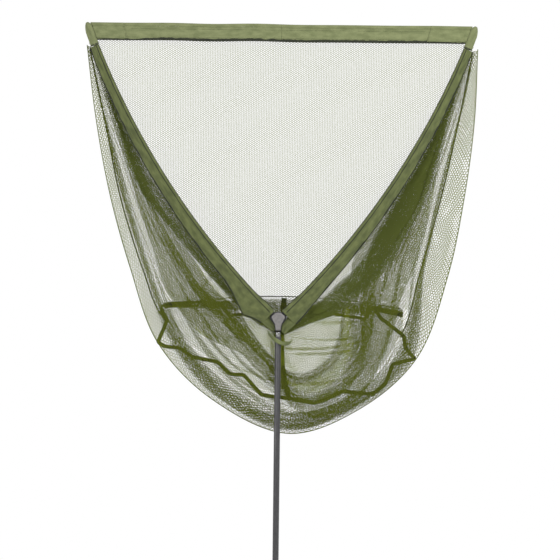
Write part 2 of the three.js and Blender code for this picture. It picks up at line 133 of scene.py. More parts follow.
def node(material, kind, **values):
    made = material.node_tree.nodes.new(kind)
    for key, value in values.items():
        if key in made.inputs:
            made.inputs[key].default_value = value
        else:
            setattr(made, key, value)
    return made


def coordinates(material, scale, uv=False):
    """Texture coordinates in millimetres times scale: the cloth's own with uv, the object's without."""
    links = material.node_tree.links
    source = node(material, "ShaderNodeTexCoord")
    mapping = node(material, "ShaderNodeMapping")
    mapping.inputs["Scale"].default_value = [1000 * part for part in scale]
    links.new(source.outputs["UV" if uv else "Object"], mapping.inputs["Vector"])
    return mapping.outputs["Vector"]


def noise(material, scale, detail, uv=False):
    made = node(material, "ShaderNodeTexNoise", Scale=1.0, Detail=detail)
    material.node_tree.links.new(coordinates(material, scale, uv), made.inputs["Vector"])
    return made.outputs["Fac"]


def mottle(material, dark, light, scale, detail=3.0, uv=False):
    """Colour that wanders between dark and light, in patches whose size is set by scale."""
    links = material.node_tree.links
    ramp = node(material, "ShaderNodeValToRGB")
    for element, position, colour in zip(ramp.color_ramp.elements, (0.35, 0.65), (dark, light)):
        element.position = position
        element.color = (*colour, 1)
    links.new(noise(material, scale, detail, uv), ramp.inputs["Fac"])
    surface = material.node_tree.nodes["Principled BSDF"]
    links.new(ramp.outputs["Color"], surface.inputs["Base Color"])


def bump(material, height, distance):
    """Adds a bump from a height output, after any bump that is there already."""
    links = material.node_tree.links
    surface = material.node_tree.nodes["Principled BSDF"]
    made = node(material, "ShaderNodeBump", Distance=distance * 0.001, Strength=1.0)
    links.new(height, made.inputs["Height"])
    if surface.inputs["Normal"].is_linked:
        links.new(surface.inputs["Normal"].links[0].from_socket, made.inputs["Normal"])
    links.new(made.outputs["Normal"], surface.inputs["Normal"])


def weave(material, pitch, depth, uv=True):
    """The over and under of a plain weave with threads pitch apart."""
    links = material.node_tree.links
    threads = []
    for direction in ("X", "Y" if uv else "Z"):
        wave = node(material, "ShaderNodeTexWave", bands_direction=direction, Scale=1.0, Distortion=0.6)
        links.new(coordinates(material, [0.314 / pitch] * 3, uv), wave.inputs["Vector"])
        threads.append(wave.outputs["Fac"])
    both = node(material, "ShaderNodeMath", operation="MULTIPLY")
    links.new(threads[0], both.inputs[0])
    links.new(threads[1], both.inputs[1])
    bump(material, both.outputs[0], depth)


def grain(material, scale, depth):
    bump(material, noise(material, [scale] * 3, 4.0), depth)


def cloth_material(name, dark, light, pitch):
    material = shader(name, light, 0.82, Sheen_Weight=0.15, Sheen_Roughness=0.5)
    mottle(material, dark, light, [0.03, 0.09, 0.05], uv=True)
    weave(material, pitch, 0.12)
    return material


hem_cloth = cloth_material("hem_cloth", (0.165, 0.190, 0.078), (0.235, 0.262, 0.118), 0.7)
sleeve_cloth = cloth_material("sleeve_cloth", (0.080, 0.097, 0.029), (0.142, 0.167, 0.053), 0.7)
tape_cloth = cloth_material("tape_cloth", (0.012, 0.015, 0.006), (0.021, 0.025, 0.010), 1.1)
strap_cloth = cloth_material("strap_cloth", (0.110, 0.132, 0.046), (0.175, 0.203, 0.080), 1.1)
thread = shader("sewing_thread", (0.060, 0.072, 0.022), 0.6, Sheen_Weight=0.2)
# Netting in lit and shaded copies of one colour: painted light where it is single, since light comes through
# it, and painted shade where it is gathered, darkest deep in a gather
OPEN, LOOSE, DENSE = 0, 1, 2
NET_SHADES = [
    shader(name, colour, 0.9, Specular_IOR_Level=0.05)
    for name, colour in (
        ("net_open_painted_light", (0.195, 0.235, 0.022)),
        ("net_loose_painted_shade", (0.128, 0.152, 0.022)),
        ("net_dense_painted_shade", (0.122, 0.148, 0.034)),
    )
]

carbon = shader("carbon", (0.045, 0.045, 0.048), 0.34, Coat_Weight=0.5, Coat_Roughness=0.12)
mottle(carbon, (0.035, 0.035, 0.038), (0.062, 0.061, 0.064), [0.5, 0.5, 0.06], detail=2.0)
weave(carbon, 1.6, 0.03, uv=False)

block_plastic = shader("block_plastic", (0.21, 0.20, 0.195), 0.42)
mottle(block_plastic, (0.185, 0.176, 0.172), (0.235, 0.225, 0.218), [0.12, 0.12, 0.12])
grain(block_plastic, 2.5, 0.05)

black_plastic = shader("black_plastic", (0.016, 0.016, 0.016), 0.5)
mottle(black_plastic, (0.012, 0.012, 0.012), (0.024, 0.024, 0.023), [0.2, 0.2, 0.2])
grain(black_plastic, 3.0, 0.05)

black_rubber = shader("black_rubber", (0.012, 0.012, 0.012), 0.88)
mottle(black_rubber, (0.009, 0.009, 0.009), (0.020, 0.020, 0.019), [0.15, 0.15, 0.15])
grain(black_rubber, 1.5, 0.08)

grip_foam = shader("grip_foam", (0.022, 0.022, 0.023), 0.97)
mottle(grip_foam, (0.016, 0.016, 0.017), (0.034, 0.034, 0.035), [0.6, 0.6, 0.6], detail=5.0)
grain(grip_foam, 1.1, 0.35)

bright_metal = shader("bright_metal", (0.36, 0.36, 0.35), 0.24, 1.0)
mottle(bright_metal, (0.30, 0.30, 0.29), (0.42, 0.42, 0.41), [0.1, 0.1, 4.0])

brass = shader("brass", (0.52, 0.39, 0.14), 0.32, 1.0)
mottle(brass, (0.44, 0.32, 0.11), (0.58, 0.44, 0.17), [0.3, 0.3, 0.3])

cord_white = shader("cord_white", (0.66, 0.64, 0.56), 0.8, Sheen_Weight=0.3)
mottle(cord_white, (0.56, 0.54, 0.46), (0.72, 0.70, 0.62), [0.5, 0.5, 0.5])

# ---------------------------------------------------------------- meshes

# The sides of the net. Left is -1 and right is 1 throughout.
NAMES = {-1: "left", 1: "right"}


def in_frame(points):
    """Metres in the part's frame, from millimetres counted from the block."""
    return np.asarray(points, float) * 0.001 + np.array([0, 0, GRIP_TO_BLOCK * 0.001])


def piece(name, points, faces, material, uv=None, smooth=True):
    """An object from points and a list of face arrays. uv gives each point's place on the cloth."""
    mesh = bpy.data.meshes.new(name)
    loops = np.concatenate([np.ravel(group) for group in faces])
    sizes = np.concatenate([np.full(len(group), len(group[0])) for group in faces])
    mesh.vertices.add(len(points))
    mesh.vertices.foreach_set("co", in_frame(points).ravel())
    mesh.loops.add(len(loops))
    mesh.loops.foreach_set("vertex_index", loops)
    mesh.polygons.add(len(sizes))
    mesh.polygons.foreach_set("loop_start", np.cumsum(sizes) - sizes)
    mesh.polygons.foreach_set("use_smooth", np.full(len(sizes), smooth))
    mesh.update(calc_edges=True)
    if uv is not None:
        layer = mesh.uv_layers.new(name="cloth")
        layer.data.foreach_set("uv", (np.asarray(uv)[loops] * 0.001).ravel())
    mesh.materials.append(material)
    made = bpy.data.objects.new(name, mesh)
    bpy.context.collection.objects.link(made)
    return made


def unit(vectors):
    length = np.linalg.norm(vectors, axis=-1, keepdims=True)
    return vectors / np.maximum(length, 1e-9)


def run_of(points):
    """How far along its path each point lies."""
    return np.concatenate([[0], np.cumsum(np.linalg.norm(np.diff(points, axis=0), axis=1))])


def interpolated(wanted, place, values):
    """Rows of values, known at each place, read at the wanted places."""
    return np.stack([np.interp(wanted, place, column) for column in np.transpose(values)], axis=1)


def eased(values, reach, **padding):
    """Values with their corners rounded off over this many neighbours."""
    kernel = np.hanning(2 * reach + 3)[1:-1]
    return np.convolve(np.pad(values, reach, **padding), kernel / kernel.sum(), "valid")


def circle(radius, turn):
    """How far across and back a point lies on a circle."""
    return radius * np.cos(turn), radius * np.sin(turn)


def points_at(x, y, z):
    """Points from arrays of coordinates. One that is the same for all can be a single number."""
    return np.stack(np.broadcast_arrays(x, y, z), axis=-1)


def ring_faces(rings, sides, around=True):
    """Quads between rings of points, each ring with the same number of points."""
    ring, side = np.meshgrid(np.arange(rings - 1), np.arange(sides if around else sides - 1), indexing="ij")
    a = (ring * sides + side).ravel()
    b = (ring * sides + (side + 1) % sides).ravel()
    return np.stack([a, b, b + sides, a + sides], axis=1)


def outwards(points, faces):
    """The faces, turned over if the closed mesh is inside out."""
    volume = 0.0
    for group in faces:
        corner = points[group]
        for k in range(1, group.shape[1] - 1):
            volume += np.einsum("ij,ij->", corner[:, 0], np.cross(corner[:, k], corner[:, k + 1]))
    return faces if volume > 0 else [group[:, ::-1] for group in faces]


def bar(name, rings, material, uv=None, smooth=True):
    """A closed solid through rings, an array of rings x sides x 3."""
    count, sides = rings.shape[:2]
    points = rings.reshape(-1, 3)
    first = np.arange(sides)[None, ::-1]
    last = (np.arange(sides) + (count - 1) * sides)[None]
    faces = outwards(points, [ring_faces(count, sides), first, last])
    return piece(name, points, faces, material, uv, smooth)


def frames(path, up):
    """Unit vectors along, across and up from a path. up is one direction, or one for each point."""
    along = unit(np.gradient(path, axis=0))
    across = unit(np.cross(along, np.broadcast_to(up, path.shape)))
    return along, across, np.cross(across, along)


def ribbon(name, path, width, thickness, material, up=(0, -1, 0)):
    """A flat tape with rounded edges along a path."""
    _, across, above = frames(path, up)
    shape = np.array([[-1, 0], [-0.93, 0.35], [-0.45, 0.5], [0, 0.46], [0.45, 0.5], [0.93, 0.35]])
    shape = np.vstack([shape, [[1, 0]], shape[:0:-1] * [1, -1]]) * [width / 2, thickness]
    rings = path[:, None] + across[:, None] * shape[None, :, :1] + above[:, None] * shape[None, :, 1:]
    uv = np.stack(np.broadcast_arrays(run_of(path)[:, None], shape[None, :, 0]), axis=-1)
    return bar(name, rings, material, uv.reshape(-1, 2))


def turns(sides):
    return 2 * np.pi * np.arange(sides) / sides


def rope(name, path, radius, material, sides=12, twist=0.0):
    """A round cord. With twist, in turns for each millimetre, it is laid up from three strands."""
    _, across, above = frames(path, (0, 1, 0))
    turn = turns(sides)[None]
    bulge = 1 - 0.12 * (twist != 0) * (1 + np.cos(3 * turn + 2 * np.pi * twist * run_of(path)[:, None])) / 2
    rings = path[:, None] + radius * bulge[..., None] * (
        across[:, None] * np.cos(turn)[..., None] + above[:, None] * np.sin(turn)[..., None]
    )
    return bar(name, rings, material)


def lathe(name, profile, material):
    """A solid turned about the handle's axis, from [radius, height] pairs. A hollow one closes on itself."""
    sides = 64
    hollow = profile[0, 0] > 0
    body = profile if hollow else profile[1:-1]
    radius, height = body[:, None, 0], body[:, None, 1]
    points = points_at(*circle(radius, turns(sides)), height).reshape(-1, 3)
    count = len(body)
    if hollow:
        faces = [ring_faces(count + 1, sides) % (count * sides)]
    else:
        points = np.vstack([points, [[0, 0, profile[0, 1]], [0, 0, profile[-1, 1]]]])
        side = np.arange(sides)
        following = (side + 1) % sides
        low = np.stack([np.full(sides, len(points) - 2), following, side], axis=1)
        high = np.stack([np.full(sides, len(points) - 1), side, following], axis=1)
        high[:, 1:] += (count - 1) * sides
        faces = [ring_faces(count, sides), low, high]
    return piece(name, points, outwards(points, faces), material)


def rounded(profile, radius, steps):
    """The profile with each corner turned into an arc, as large as its neighbours leave room for."""
    profile = np.asarray(profile, float)
    closed = profile[0, 0] > 0
    count = len(profile)
    made = [] if closed else [profile[0]]
    for i in range(count) if closed else range(1, count - 1):
        corner = profile[i]
        before = profile[i - 1] - corner
        after = profile[(i + 1) % count] - corner
        reach = min(radius, np.linalg.norm(before) * 0.45, np.linalg.norm(after) * 0.45)
        start = corner + unit(before) * reach
        end = corner + unit(after) * reach
        for part in np.linspace(0, 1, steps):
            made.append((1 - part) ** 2 * start + 2 * part * (1 - part) * corner + part**2 * end)
    if not closed:
        made.append(profile[-1])
    return np.array(made)


def cloth(name, centre, thickness, material, size):
    """A sheet with two faces and a rim, on a grid of points. size is the flat cloth's, for its weave."""
    rows, columns = centre.shape[:2]
    normal = unit(np.cross(np.gradient(centre, axis=0), np.gradient(centre, axis=1)))
    points = np.concatenate([centre + normal * thickness / 2, centre - normal * thickness / 2]).reshape(-1, 3)
    count = rows * columns
    face = ring_faces(rows, columns, around=False)
    grid = np.arange(count).reshape(rows, columns)
    rim = np.concatenate([grid[0], grid[1:, -1], grid[-1, -2::-1], grid[-2:0:-1, 0]])
    after = np.roll(rim, -1)
    edge = np.stack([rim, after, after + count, rim + count], axis=1)
    u, v = np.meshgrid(np.linspace(0, size[0], rows), np.linspace(0, size[1], columns), indexing="ij")
    uv = np.tile(np.stack([u.ravel(), v.ravel()], axis=1), (2, 1))
    faces = outwards(points, [face[:, ::-1], face + count, edge])
    return piece(name, points, faces, material, uv)


STITCH_LENGTH, STITCH_GAP, THREAD_R = 2.6, 1.2, 0.42


def stitches(name, path):
    """A row of stitches: short threads that lie on the front of the cloth along a path."""
    place = run_of(path)
    centres = np.arange(STITCH_LENGTH, place[-1] - STITCH_LENGTH, STITCH_LENGTH + STITCH_GAP)
    middle = interpolated(centres, place, path)
    along, across, above = (unit(interpolated(centres, place, values)) for values in frames(path, (0, -1, 0)))
    sides = 6
    turn = turns(sides)[None, :, None]
    round_it = across[:, None] * np.cos(turn) + above[:, None] * np.sin(turn)
    rings = [
        (middle + along * reach * STITCH_LENGTH / 2)[:, None] + THREAD_R * size * round_it
        for reach, size in ((-1, 0.35), (-0.7, 0.9), (0, 1), (0.7, 0.9), (1, 0.35))
    ]
    points = np.stack(rings, axis=1).reshape(-1, 3)
    count = len(rings)
    shell = ring_faces(count, sides)
    ends = np.stack([np.arange(sides)[::-1], np.arange(sides) + (count - 1) * sides])
    start = (np.arange(len(centres)) * count * sides)[:, None, None]
    faces = outwards(points, [(shell[None] + start).reshape(-1, 4), (ends[None] + start).reshape(-1, sides)])
    follow(piece(name, points, faces, thread))


def ripple(u, v, size, seed):
    """Smooth wrinkles between about -1 and 1, whose usual length is size along u and along v."""
    random = np.random.default_rng(seed)
    total = np.zeros(np.broadcast(u, v).shape)
    waves = 14
    for _ in range(waves):
        angle, phase = random.uniform(0, 2 * np.pi), random.uniform(0, 2 * np.pi)
        pace = 2 * np.pi * random.uniform(0.6, 1.7)
        total += np.sin(pace * (np.cos(angle) * u / size[0] + np.sin(angle) * v / size[1]) + phase)
    return total / np.sqrt(waves)


def smoothstep(value, low, high):
    part = np.clip((value - low) / (high - low), 0, 1)
    return part * part * (3 - 2 * part)


def lerp(a, b, part):
    return a + (b - a) * part


# ---------------------------------------------------------------- the CAD node each piece stands for, and the body some move with


def follow(made, node_name=None):
    """Fabric on one half of the head: its placement is applied to its mesh, and the CAD node it stands for,
    if named, is hidden.
    """
    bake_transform(made)
    if node_name:
        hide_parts(node_name)


def stands_for(made, body, node_name):
    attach(made, body)
    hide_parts(node_name)


# ---------------------------------------------------------------- camera, light and floor

CAMERA_X, CAMERA_Y, CAMERA_Z = 4, -6.0, 120
VIEW_WIDTH = 1.68
ROLL = np.radians(0.65)

camera_data = bpy.data.cameras.new("camera")
camera_data.sensor_width = 36
camera_data.lens = 36 * -CAMERA_Y / VIEW_WIDTH
camera = bpy.data.objects.new("camera", camera_data)
camera.location = (CAMERA_X * 0.001, CAMERA_Y, (GRIP_TO_BLOCK + CAMERA_Z) * 0.001)
camera.rotation_euler = (np.pi / 2, -ROLL, 0)
bpy.context.collection.objects.link(camera)
bpy.context.scene.camera = camera

world = bpy.data.worlds.new("studio")
world.use_nodes = True
world_nodes = world.node_tree.nodes
world_links = world.node_tree.links
room = world_nodes["Background"]
room.inputs["Color"].default_value = (1, 1, 1, 1)
room.inputs["Strength"].default_value = 0.62
paper = world_nodes.new("ShaderNodeBackground")
paper.inputs["Color"].default_value = (1, 1, 1, 1)
paper.inputs["Strength"].default_value = 1.0
rays = world_nodes.new("ShaderNodeLightPath")
choice = world_nodes.new("ShaderNodeMixShader")
world_links.new(rays.outputs["Is Camera Ray"], choice.inputs["Fac"])
world_links.new(room.outputs["Background"], choice.inputs[1])
world_links.new(paper.outputs["Background"], choice.inputs[2])
world_links.new(choice.outputs["Shader"], world_nodes["World Output"].inputs["Surface"])
bpy.context.scene.world = world
bpy.context.scene.view_settings.view_transform = "Standard"


def soft_light(name, location, target, size, watts):
    data = bpy.data.lights.new(name, "AREA")
    data.shape = "RECTANGLE"
    data.size, data.size_y = size
    data.energy = watts
    lamp = bpy.data.objects.new(name, data)
    lamp.location = location
    away = np.array(target) - np.array(location)
    pitch = np.arctan2(np.hypot(away[0], away[1]), -away[2])
    lamp.rotation_euler = (pitch, 0, np.arctan2(-away[0], away[1]))
    bpy.context.collection.objects.link(lamp)


soft_light("key", (1.7, -2.6, 3.6), (0, 0, 1.8), (1.4, 1.4), 62)
soft_light("fill", (-2.6, -2.4, 2.2), (0, 0, 1.7), (1.6, 2.0), 26)
soft_light("rim", (0.6, 2.8, 3.4), (0, 0, 1.8), (2.0, 1.0), 22)

paper_floor = shader("pale_floor", (0.86, 0.86, 0.85), 0.9)
mottle(paper_floor, (0.84, 0.84, 0.83), (0.88, 0.88, 0.87), [0.002, 0.002, 0.002])
just_below = cad_box[0][2] - 0.001
bpy.ops.mesh.primitive_circle_add(vertices=128, radius=4.0, fill_type="NGON", location=(0, 0, just_below))
floor = bpy.context.object
floor.name = "floor"
floor.data.materials.append(paper_floor)

# ---------------------------------------------------------------- arms and bag, as in the CAD


def arm_point(side, s, across=0.0, y=0.0):
    """The point s along an arm, moved out from the opening by across, and back by y."""
    s, across, y = np.broadcast_arrays(np.asarray(s, float), across, y)
    angle = ARM_ANGLE - np.maximum(s, 0) / ARM_BOW_R
    straight = np.minimum(s, 0)
    x = ARM_START_X + ARM_BOW_R * (np.cos(angle) - np.cos(ARM_ANGLE)) + straight * np.sin(ARM_ANGLE)
    z = ARM_START_Z + ARM_BOW_R * (np.sin(ARM_ANGLE) - np.sin(angle)) + straight * np.cos(ARM_ANGLE)
    return np.stack([side * (x + across * np.cos(angle)), y, z - across * np.sin(angle)], axis=-1)


def sleeve_width(s):
    return lerp(36, 18, s / ARM_LENGTH)


def sleeve_round(s):
    return lerp(13, lerp(9.5, 7.5, s / ARM_LENGTH), smoothstep(s, 36, 90))


def back_y(z):
    down = np.clip((HEM_BOTTOM_Z - z) / (HEM_BOTTOM_Z - BACK_SEAM_Z), 0, 1)
    below = np.clip((BACK_SEAM_Z - z) / (BACK_SEAM_Z - BASE_LOW_Z), 0, 1)
    return lerp(BACK_TOP_Y, BACK_SEAM_Y, down) + (BASE_LOW_Y - BACK_SEAM_Y) * below


def curve(points, places):
    """A centripetal Catmull-Rom curve through points, at places counted in points from 0."""
    points = np.asarray(points, float)
    places = np.asarray(places, float)
    around = np.vstack([2 * points[0] - points[1], points, 2 * points[-1] - points[-2]])
    first = np.clip(np.floor(places).astype(int), 0, len(points) - 2)
    t = (places - first)[:, None]
    p0, p1, p2, p3 = (around[first + k] for k in range(4))

    def gap(a, b):
        return np.maximum(np.linalg.norm(b - a, axis=1), 1e-6)[:, None] ** 0.5

    d0, d1, d2 = gap(p0, p1), gap(p1, p2), gap(p2, p3)
    m1 = ((p1 - p0) / d0 - (p2 - p0) / (d0 + d1) + (p2 - p1) / d1) * d1
    m2 = ((p2 - p1) / d1 - (p3 - p1) / (d1 + d2) + (p3 - p2) / d2) * d1
    return p1 + m1 * t + (3 * (p2 - p1) - 2 * m1 - m2) * t**2 + (2 * (p1 - p2) + m1 + m2) * t**3


def creased_path(points):
    """Straight runs through the points, at even spacing, with the corners only just rounded."""
    place = run_of(points)
    wanted = np.linspace(0, place[-1], int(place[-1] / 3.0) + 1)
    columns = interpolated(wanted, place, points).T
    return np.stack([eased(column, 2, mode="reflect", reflect_type="odd") for column in columns], axis=1)


def smooth_path(points, spacing):
    """The curve through a few points, at even spacing."""
    fine = curve(points, np.linspace(0, len(points) - 1, 60 * len(points)))
    place = run_of(fine)
    return interpolated(np.linspace(0, place[-1], int(place[-1] / spacing) + 1), place, fine)


def further_back(x, z, y):
    """A place given in the plane of the arms, moved out so that the camera still sees it there at depth y."""
    grown = 1 - 0.001 * y / CAMERA_Y
    return lerp(CAMERA_X, x, grown), y, lerp(CAMERA_Z, z, grown)


# Rows of the side panels, from the left corner round under the block to the right corner:
# side, distance along the arm, the outermost fold and the seam with the back, as x and z.
SIDE_ROWS = [
    (-1, 976, (-577, 812), (-574, 806)),
    (-1, 740, (-549, 594), (-526, 590)),
    (-1, 500, (-506, 370), (-478, 365)),
    (-1, 270, (-443, 150), (-405, 140)),
    (-1, 80, (-360, -70), (-350, 10)),
    (-1, 5, (-200, -236), (-200, -125)),
    (1, None, (35, -340), (35, -234)),
    (1, 5, (242, -267), (250, -205)),
    (1, 80, (414, -112), (375, -30)),
    (1, 270, (505, 136), (420, 130)),
    (1, 500, (550, 366), (484, 370)),
    (1, 740, (577, 594), (533, 594)),
    (1, 976, (584, 812), (574, 806)),
]
UNDER_BLOCK = (0, NET_FRONT_Y + 1, -24)
LAST_ROW = len(SIDE_ROWS) - 1
MIDDLE_ROW = LAST_ROW // 2

FOLD_Y = 75
hang_points = [
    UNDER_BLOCK if s is None else arm_point(side, s, sleeve_width(s) - 4, NET_FRONT_Y)
    for side, s, _, _ in SIDE_ROWS
]
fold_points = [further_back(*fold, FOLD_Y) for _, _, fold, _ in SIDE_ROWS]
seam_points = [further_back(*seam, back_y(seam[1])) for _, _, _, seam in SIDE_ROWS]


def seam_line(rows):
    return curve(seam_points, rows)


def back_seam_z(x):
    left, right = seam_points[4][0], seam_points[8][0]
    off = x / np.where(x < 0, left, right)
    return BACK_SEAM_Z - BACK_SEAM_DROP * np.minimum(off, 1.2) ** 2


# ---------------------------------------------------------------- netting


def strand_mesh(place, inside, x_span, y_span, part_of, shade_of, scale):
    """Hexagonal netting over a panel of cloth, as strands of diamond section.

    place gives the points for arrays of cloth coordinates, and inside says which are on the cloth.
    part_of numbers the piece that each belongs to, and shade_of its material, a copy of the netting colour
    with painted light or painted shade.
    scale enlarges the mesh and its strands.
    Returns {part: (points, faces, each face's shade, cloth area in square millimetres)}.
    """
    mesh_x, mesh_y, bar_length = MESH_X * scale, MESH_Y * scale, MESH_BAR * scale
    columns = np.arange(int(x_span[0] / mesh_x) - 1, int(x_span[1] / mesh_x) + 2)
    rows = np.arange(int(y_span[0] / mesh_y) - 1, int(y_span[1] / mesh_y) + 2)
    m, n = np.meshgrid(columns, rows, indexing="ij")
    used = (m + n) % 2 == 0
    y = mesh_y * n
    xs = {0: mesh_x * m - bar_length / 2, 1: mesh_x * m + bar_length / 2}
    shape = m.shape
    position = {kind: place(xs[kind].ravel(), y.ravel()).reshape(*shape, 3) for kind in (0, 1)}
    present = {kind: used & inside(xs[kind], y) for kind in (0, 1)}

    # The other kind of node that each of a node's three strands leads to, as steps in column and row
    steps = {0: ((0, 0), (-1, 1), (-1, -1)), 1: ((0, 0), (1, -1), (1, 1))}

    def moved(values, step):
        return np.roll(values, (-step[0], -step[1]), axis=(0, 1))

    corner_sets, tops, bottoms, number = {}, {}, {}, {}
    count = 0
    for kind in (0, 1):
        toward = [unit(moved(position[1 - kind], step) - position[kind]) for step in steps[kind]]
        normal = unit(sum(np.cross(toward[k], toward[(k + 1) % 3]) for k in range(3)))
        corner_sets[kind] = []
        for k in range(3):
            middle = toward[k] + toward[(k + 1) % 3]
            spread = np.linalg.norm(middle, axis=-1, keepdims=True) / 2
            corner = STRAND * scale / 2 / np.sqrt(np.clip(1 - spread**2, 0.2, 1))
            corner_sets[kind].append(position[kind] + unit(middle) * corner)
        tops[kind] = position[kind] + normal * STRAND_DEPTH * scale / 2
        bottoms[kind] = position[kind] - normal * STRAND_DEPTH * scale / 2
        number[kind] = np.full(shape, -1)
        number[kind][present[kind]] = np.arange(present[kind].sum()) + count
        count += present[kind].sum()

    groups = []
    for kind in (0, 1):
        there = present[kind]
        corners = [corner[there] for corner in corner_sets[kind]]
        groups.append(np.stack([*corners, tops[kind][there], bottoms[kind][there]], axis=1))
    points = np.concatenate(groups)
    belongs = part_of(xs[0], y, position[0])
    shades = shade_of(xs[0], y)
    strands = []
    for k in range(3):
        other = moved(number[1], steps[0][k])
        joined = (number[0] >= 0) & (other >= 0)
        which = np.full(joined.sum(), k)
        columns = [number[0][joined], other[joined], which, belongs[joined], shades[joined]]
        strands.append(np.stack(columns, axis=1))
    strands = np.concatenate(strands)
    made = {}
    for part in np.unique(strands[:, 3]):
        mine = strands[strands[:, 3] == part]
        nodes, where = np.unique(mine[:, :2], return_inverse=True)
        a, b = where.reshape(-1, 2).T
        k, shade = mine[:, 2], mine[:, 4]
        left_a, right_a = a * 5 + k, a * 5 + (k + 2) % 3
        left_b, right_b = b * 5 + (k + 2) % 3, b * 5 + k
        loop_a = [left_a, a * 5 + 3, right_a, a * 5 + 4]
        loop_b = [left_b, b * 5 + 3, right_b, b * 5 + 4]
        sides = [
            np.stack([loop_a[i], loop_a[(i + 1) % 4], loop_b[(i + 1) % 4], loop_b[i]], axis=1)
            for i in range(4)
        ]
        held = np.zeros((len(nodes), 3), bool)
        held[a, k] = True
        held[b, k] = True
        bare, way = np.nonzero(~held)
        caps = np.stack([bare * 5 + way, bare * 5 + 3, bare * 5 + (way + 2) % 3, bare * 5 + 4], axis=1)
        mesh_points = points[nodes].reshape(-1, 3)
        centres = (mesh_points[3::5] + mesh_points[4::5]) / 2
        length = np.linalg.norm(centres[a] - centres[b], axis=1).sum()
        face_shades = np.concatenate([*[shade] * 4, np.full(len(caps), shade[0])])
        area = length * scale * CELL_AREA / CELL_STRAND
        made[int(part)] = (mesh_points, [*sides, caps], face_shades, area)
    return made


# Folds of the side panels. A place across a panel is 0 at the sleeve, 1 at its outermost fold and 2 at
# the seam with the back. The cloth lies in three gathers, a dense one near the sleeve, a looser one, and
# one along the side seam, and between them in narrow pleats.
# By place in SIDE_ROWS: where the dense, the loose and the seam's gather start and end.
GATHERS = [
    (0, 0.00, 0.12, 0.12, 0.40, 0.58, 0.72),
    (1, 0.00, 0.30, 0.14, 0.42, 0.61, 0.72),
    (1.5, 0.00, 0.41, 0.20, 0.46, 0.60, 0.76),
    (2, 0.00, 0.44, 0.22, 0.54, 0.65, 0.80),
    (2.5, 0.00, 0.25, 0.20, 0.61, 0.69, 0.82),
    (3, 0.00, 0.19, 0.20, 0.66, 0.73, 0.83),
    (3.5, 0.00, 0.14, 0.20, 0.66, 0.73, 0.84),
    (4, 0.00, 0.10, 0.10, 0.58, 0.70, 0.86),
    (5, 0.00, 0.06, 0.14, 0.42, 0.74, 0.95),
    (5.6, 0.00, 0.05, 0.26, 0.46, 0.78, 0.97),
    (6.4, 0.00, 0.08, 0.66, 0.90, 0.80, 0.98),
    (7, 0.00, 0.09, 0.68, 0.92, 0.84, 0.98),
    (7.5, 0.00, 0.12, 0.56, 0.82, 0.84, 0.98),
    (8, 0.02, 0.22, 0.38, 0.74, 0.80, 0.95),
    (8.5, 0.06, 0.29, 0.14, 0.69, 0.74, 0.85),
    (9, 0.14, 0.40, 0.02, 0.64, 0.68, 0.75),
    (9.5, 0.06, 0.42, 0.00, 0.58, 0.63, 0.71),
    (10, 0.00, 0.48, 0.00, 0.50, 0.57, 0.66),
    (10.5, 0.00, 0.42, 0.00, 0.43, 0.53, 0.62),
    (11, 0.00, 0.26, 0.04, 0.35, 0.50, 0.58),
    (12, 0.00, 0.16, 0.10, 0.34, 0.52, 0.60),
]
# Where the cloth turns in each gather, as shares of its width, and how far the mesh is drawn together
DENSE_TURNS, DENSE_CLOSED = [0.75, 0.10, 1.00, 0.00, 0.90, 0.45], 1.25
LOOSE_TURNS, LOOSE_CLOSED = [0.50, 0.20, 1.00, 0.00], 1.25
SEAM_TURNS, SEAM_CLOSED = [0.95, 0.05, 0.90, 0.30], 1.15
FREE_CLOSED = 1.12
PLEATS = 14
PLEAT_WIDTH = 0.030
# Rows along a panel and steps across it
SIDE_LINES, SIDE_STEPS = 961, 1800
BASE_LINES, BASE_STEPS = 301, 900
# The base is gathered down to this share of its width, and has narrow pleats below that
BASE_GATHERED, BASE_TURNS = 0.18, [0.95, 0.10, 0.90, 0.30]
BASE_PLEATS = 7


def folded(stops, steps):
    """Places along a folded cloth at even steps. Each line of stops is where it starts, turns and ends."""
    table = np.empty((len(stops), steps))
    for line, stop in enumerate(stops):
        length = run_of(stop[:, None])
        plain = np.interp(np.linspace(0, length[-1], steps), length, stop)
        table[line] = eased(plain, 3, mode="reflect", reflect_type="odd")
    table[:, 0], table[:, -1] = stops[:, 0], stops[:, -1]
    return table


def turning_places(rows, start, end, shares, seed):
    """Where the cloth turns in a gather, along all its rows. The folds wander a little."""
    random = np.random.default_rng(seed)
    made = []
    for share in shares:
        pace, phase = random.uniform(1.0, 2.6), random.uniform(0, 2 * np.pi)
        wander = 0.05 * np.sin(pace * rows + phase) + 0.02 * np.sin(3.1 * pace * rows + 2 * phase)
        made.append(start + (end - start) * (share + wander))
    return np.stack(made, axis=1)


def pleats(rows, start, end, count, width, seed):
    """Where the cloth turns in narrow pleats, evenly from start to end but for some wandering."""
    random = np.random.default_rng(seed)
    made = []
    for share in (np.arange(count) + 0.5) / count:
        pace, phase = random.uniform(0.8, 2.0), random.uniform(0, 2 * np.pi)
        wander = 0.32 * np.sin(pace * rows + phase) + random.uniform(-0.2, 0.2)
        middle = start + (end - start) * (share + wander / count)
        wide = width * np.clip(0.9 + 0.9 * np.sin(1.3 * pace * rows + 2 * phase), 0.15, 2)
        made += [middle + wide / 2, middle - wide / 2]
    return np.stack(made, axis=1)


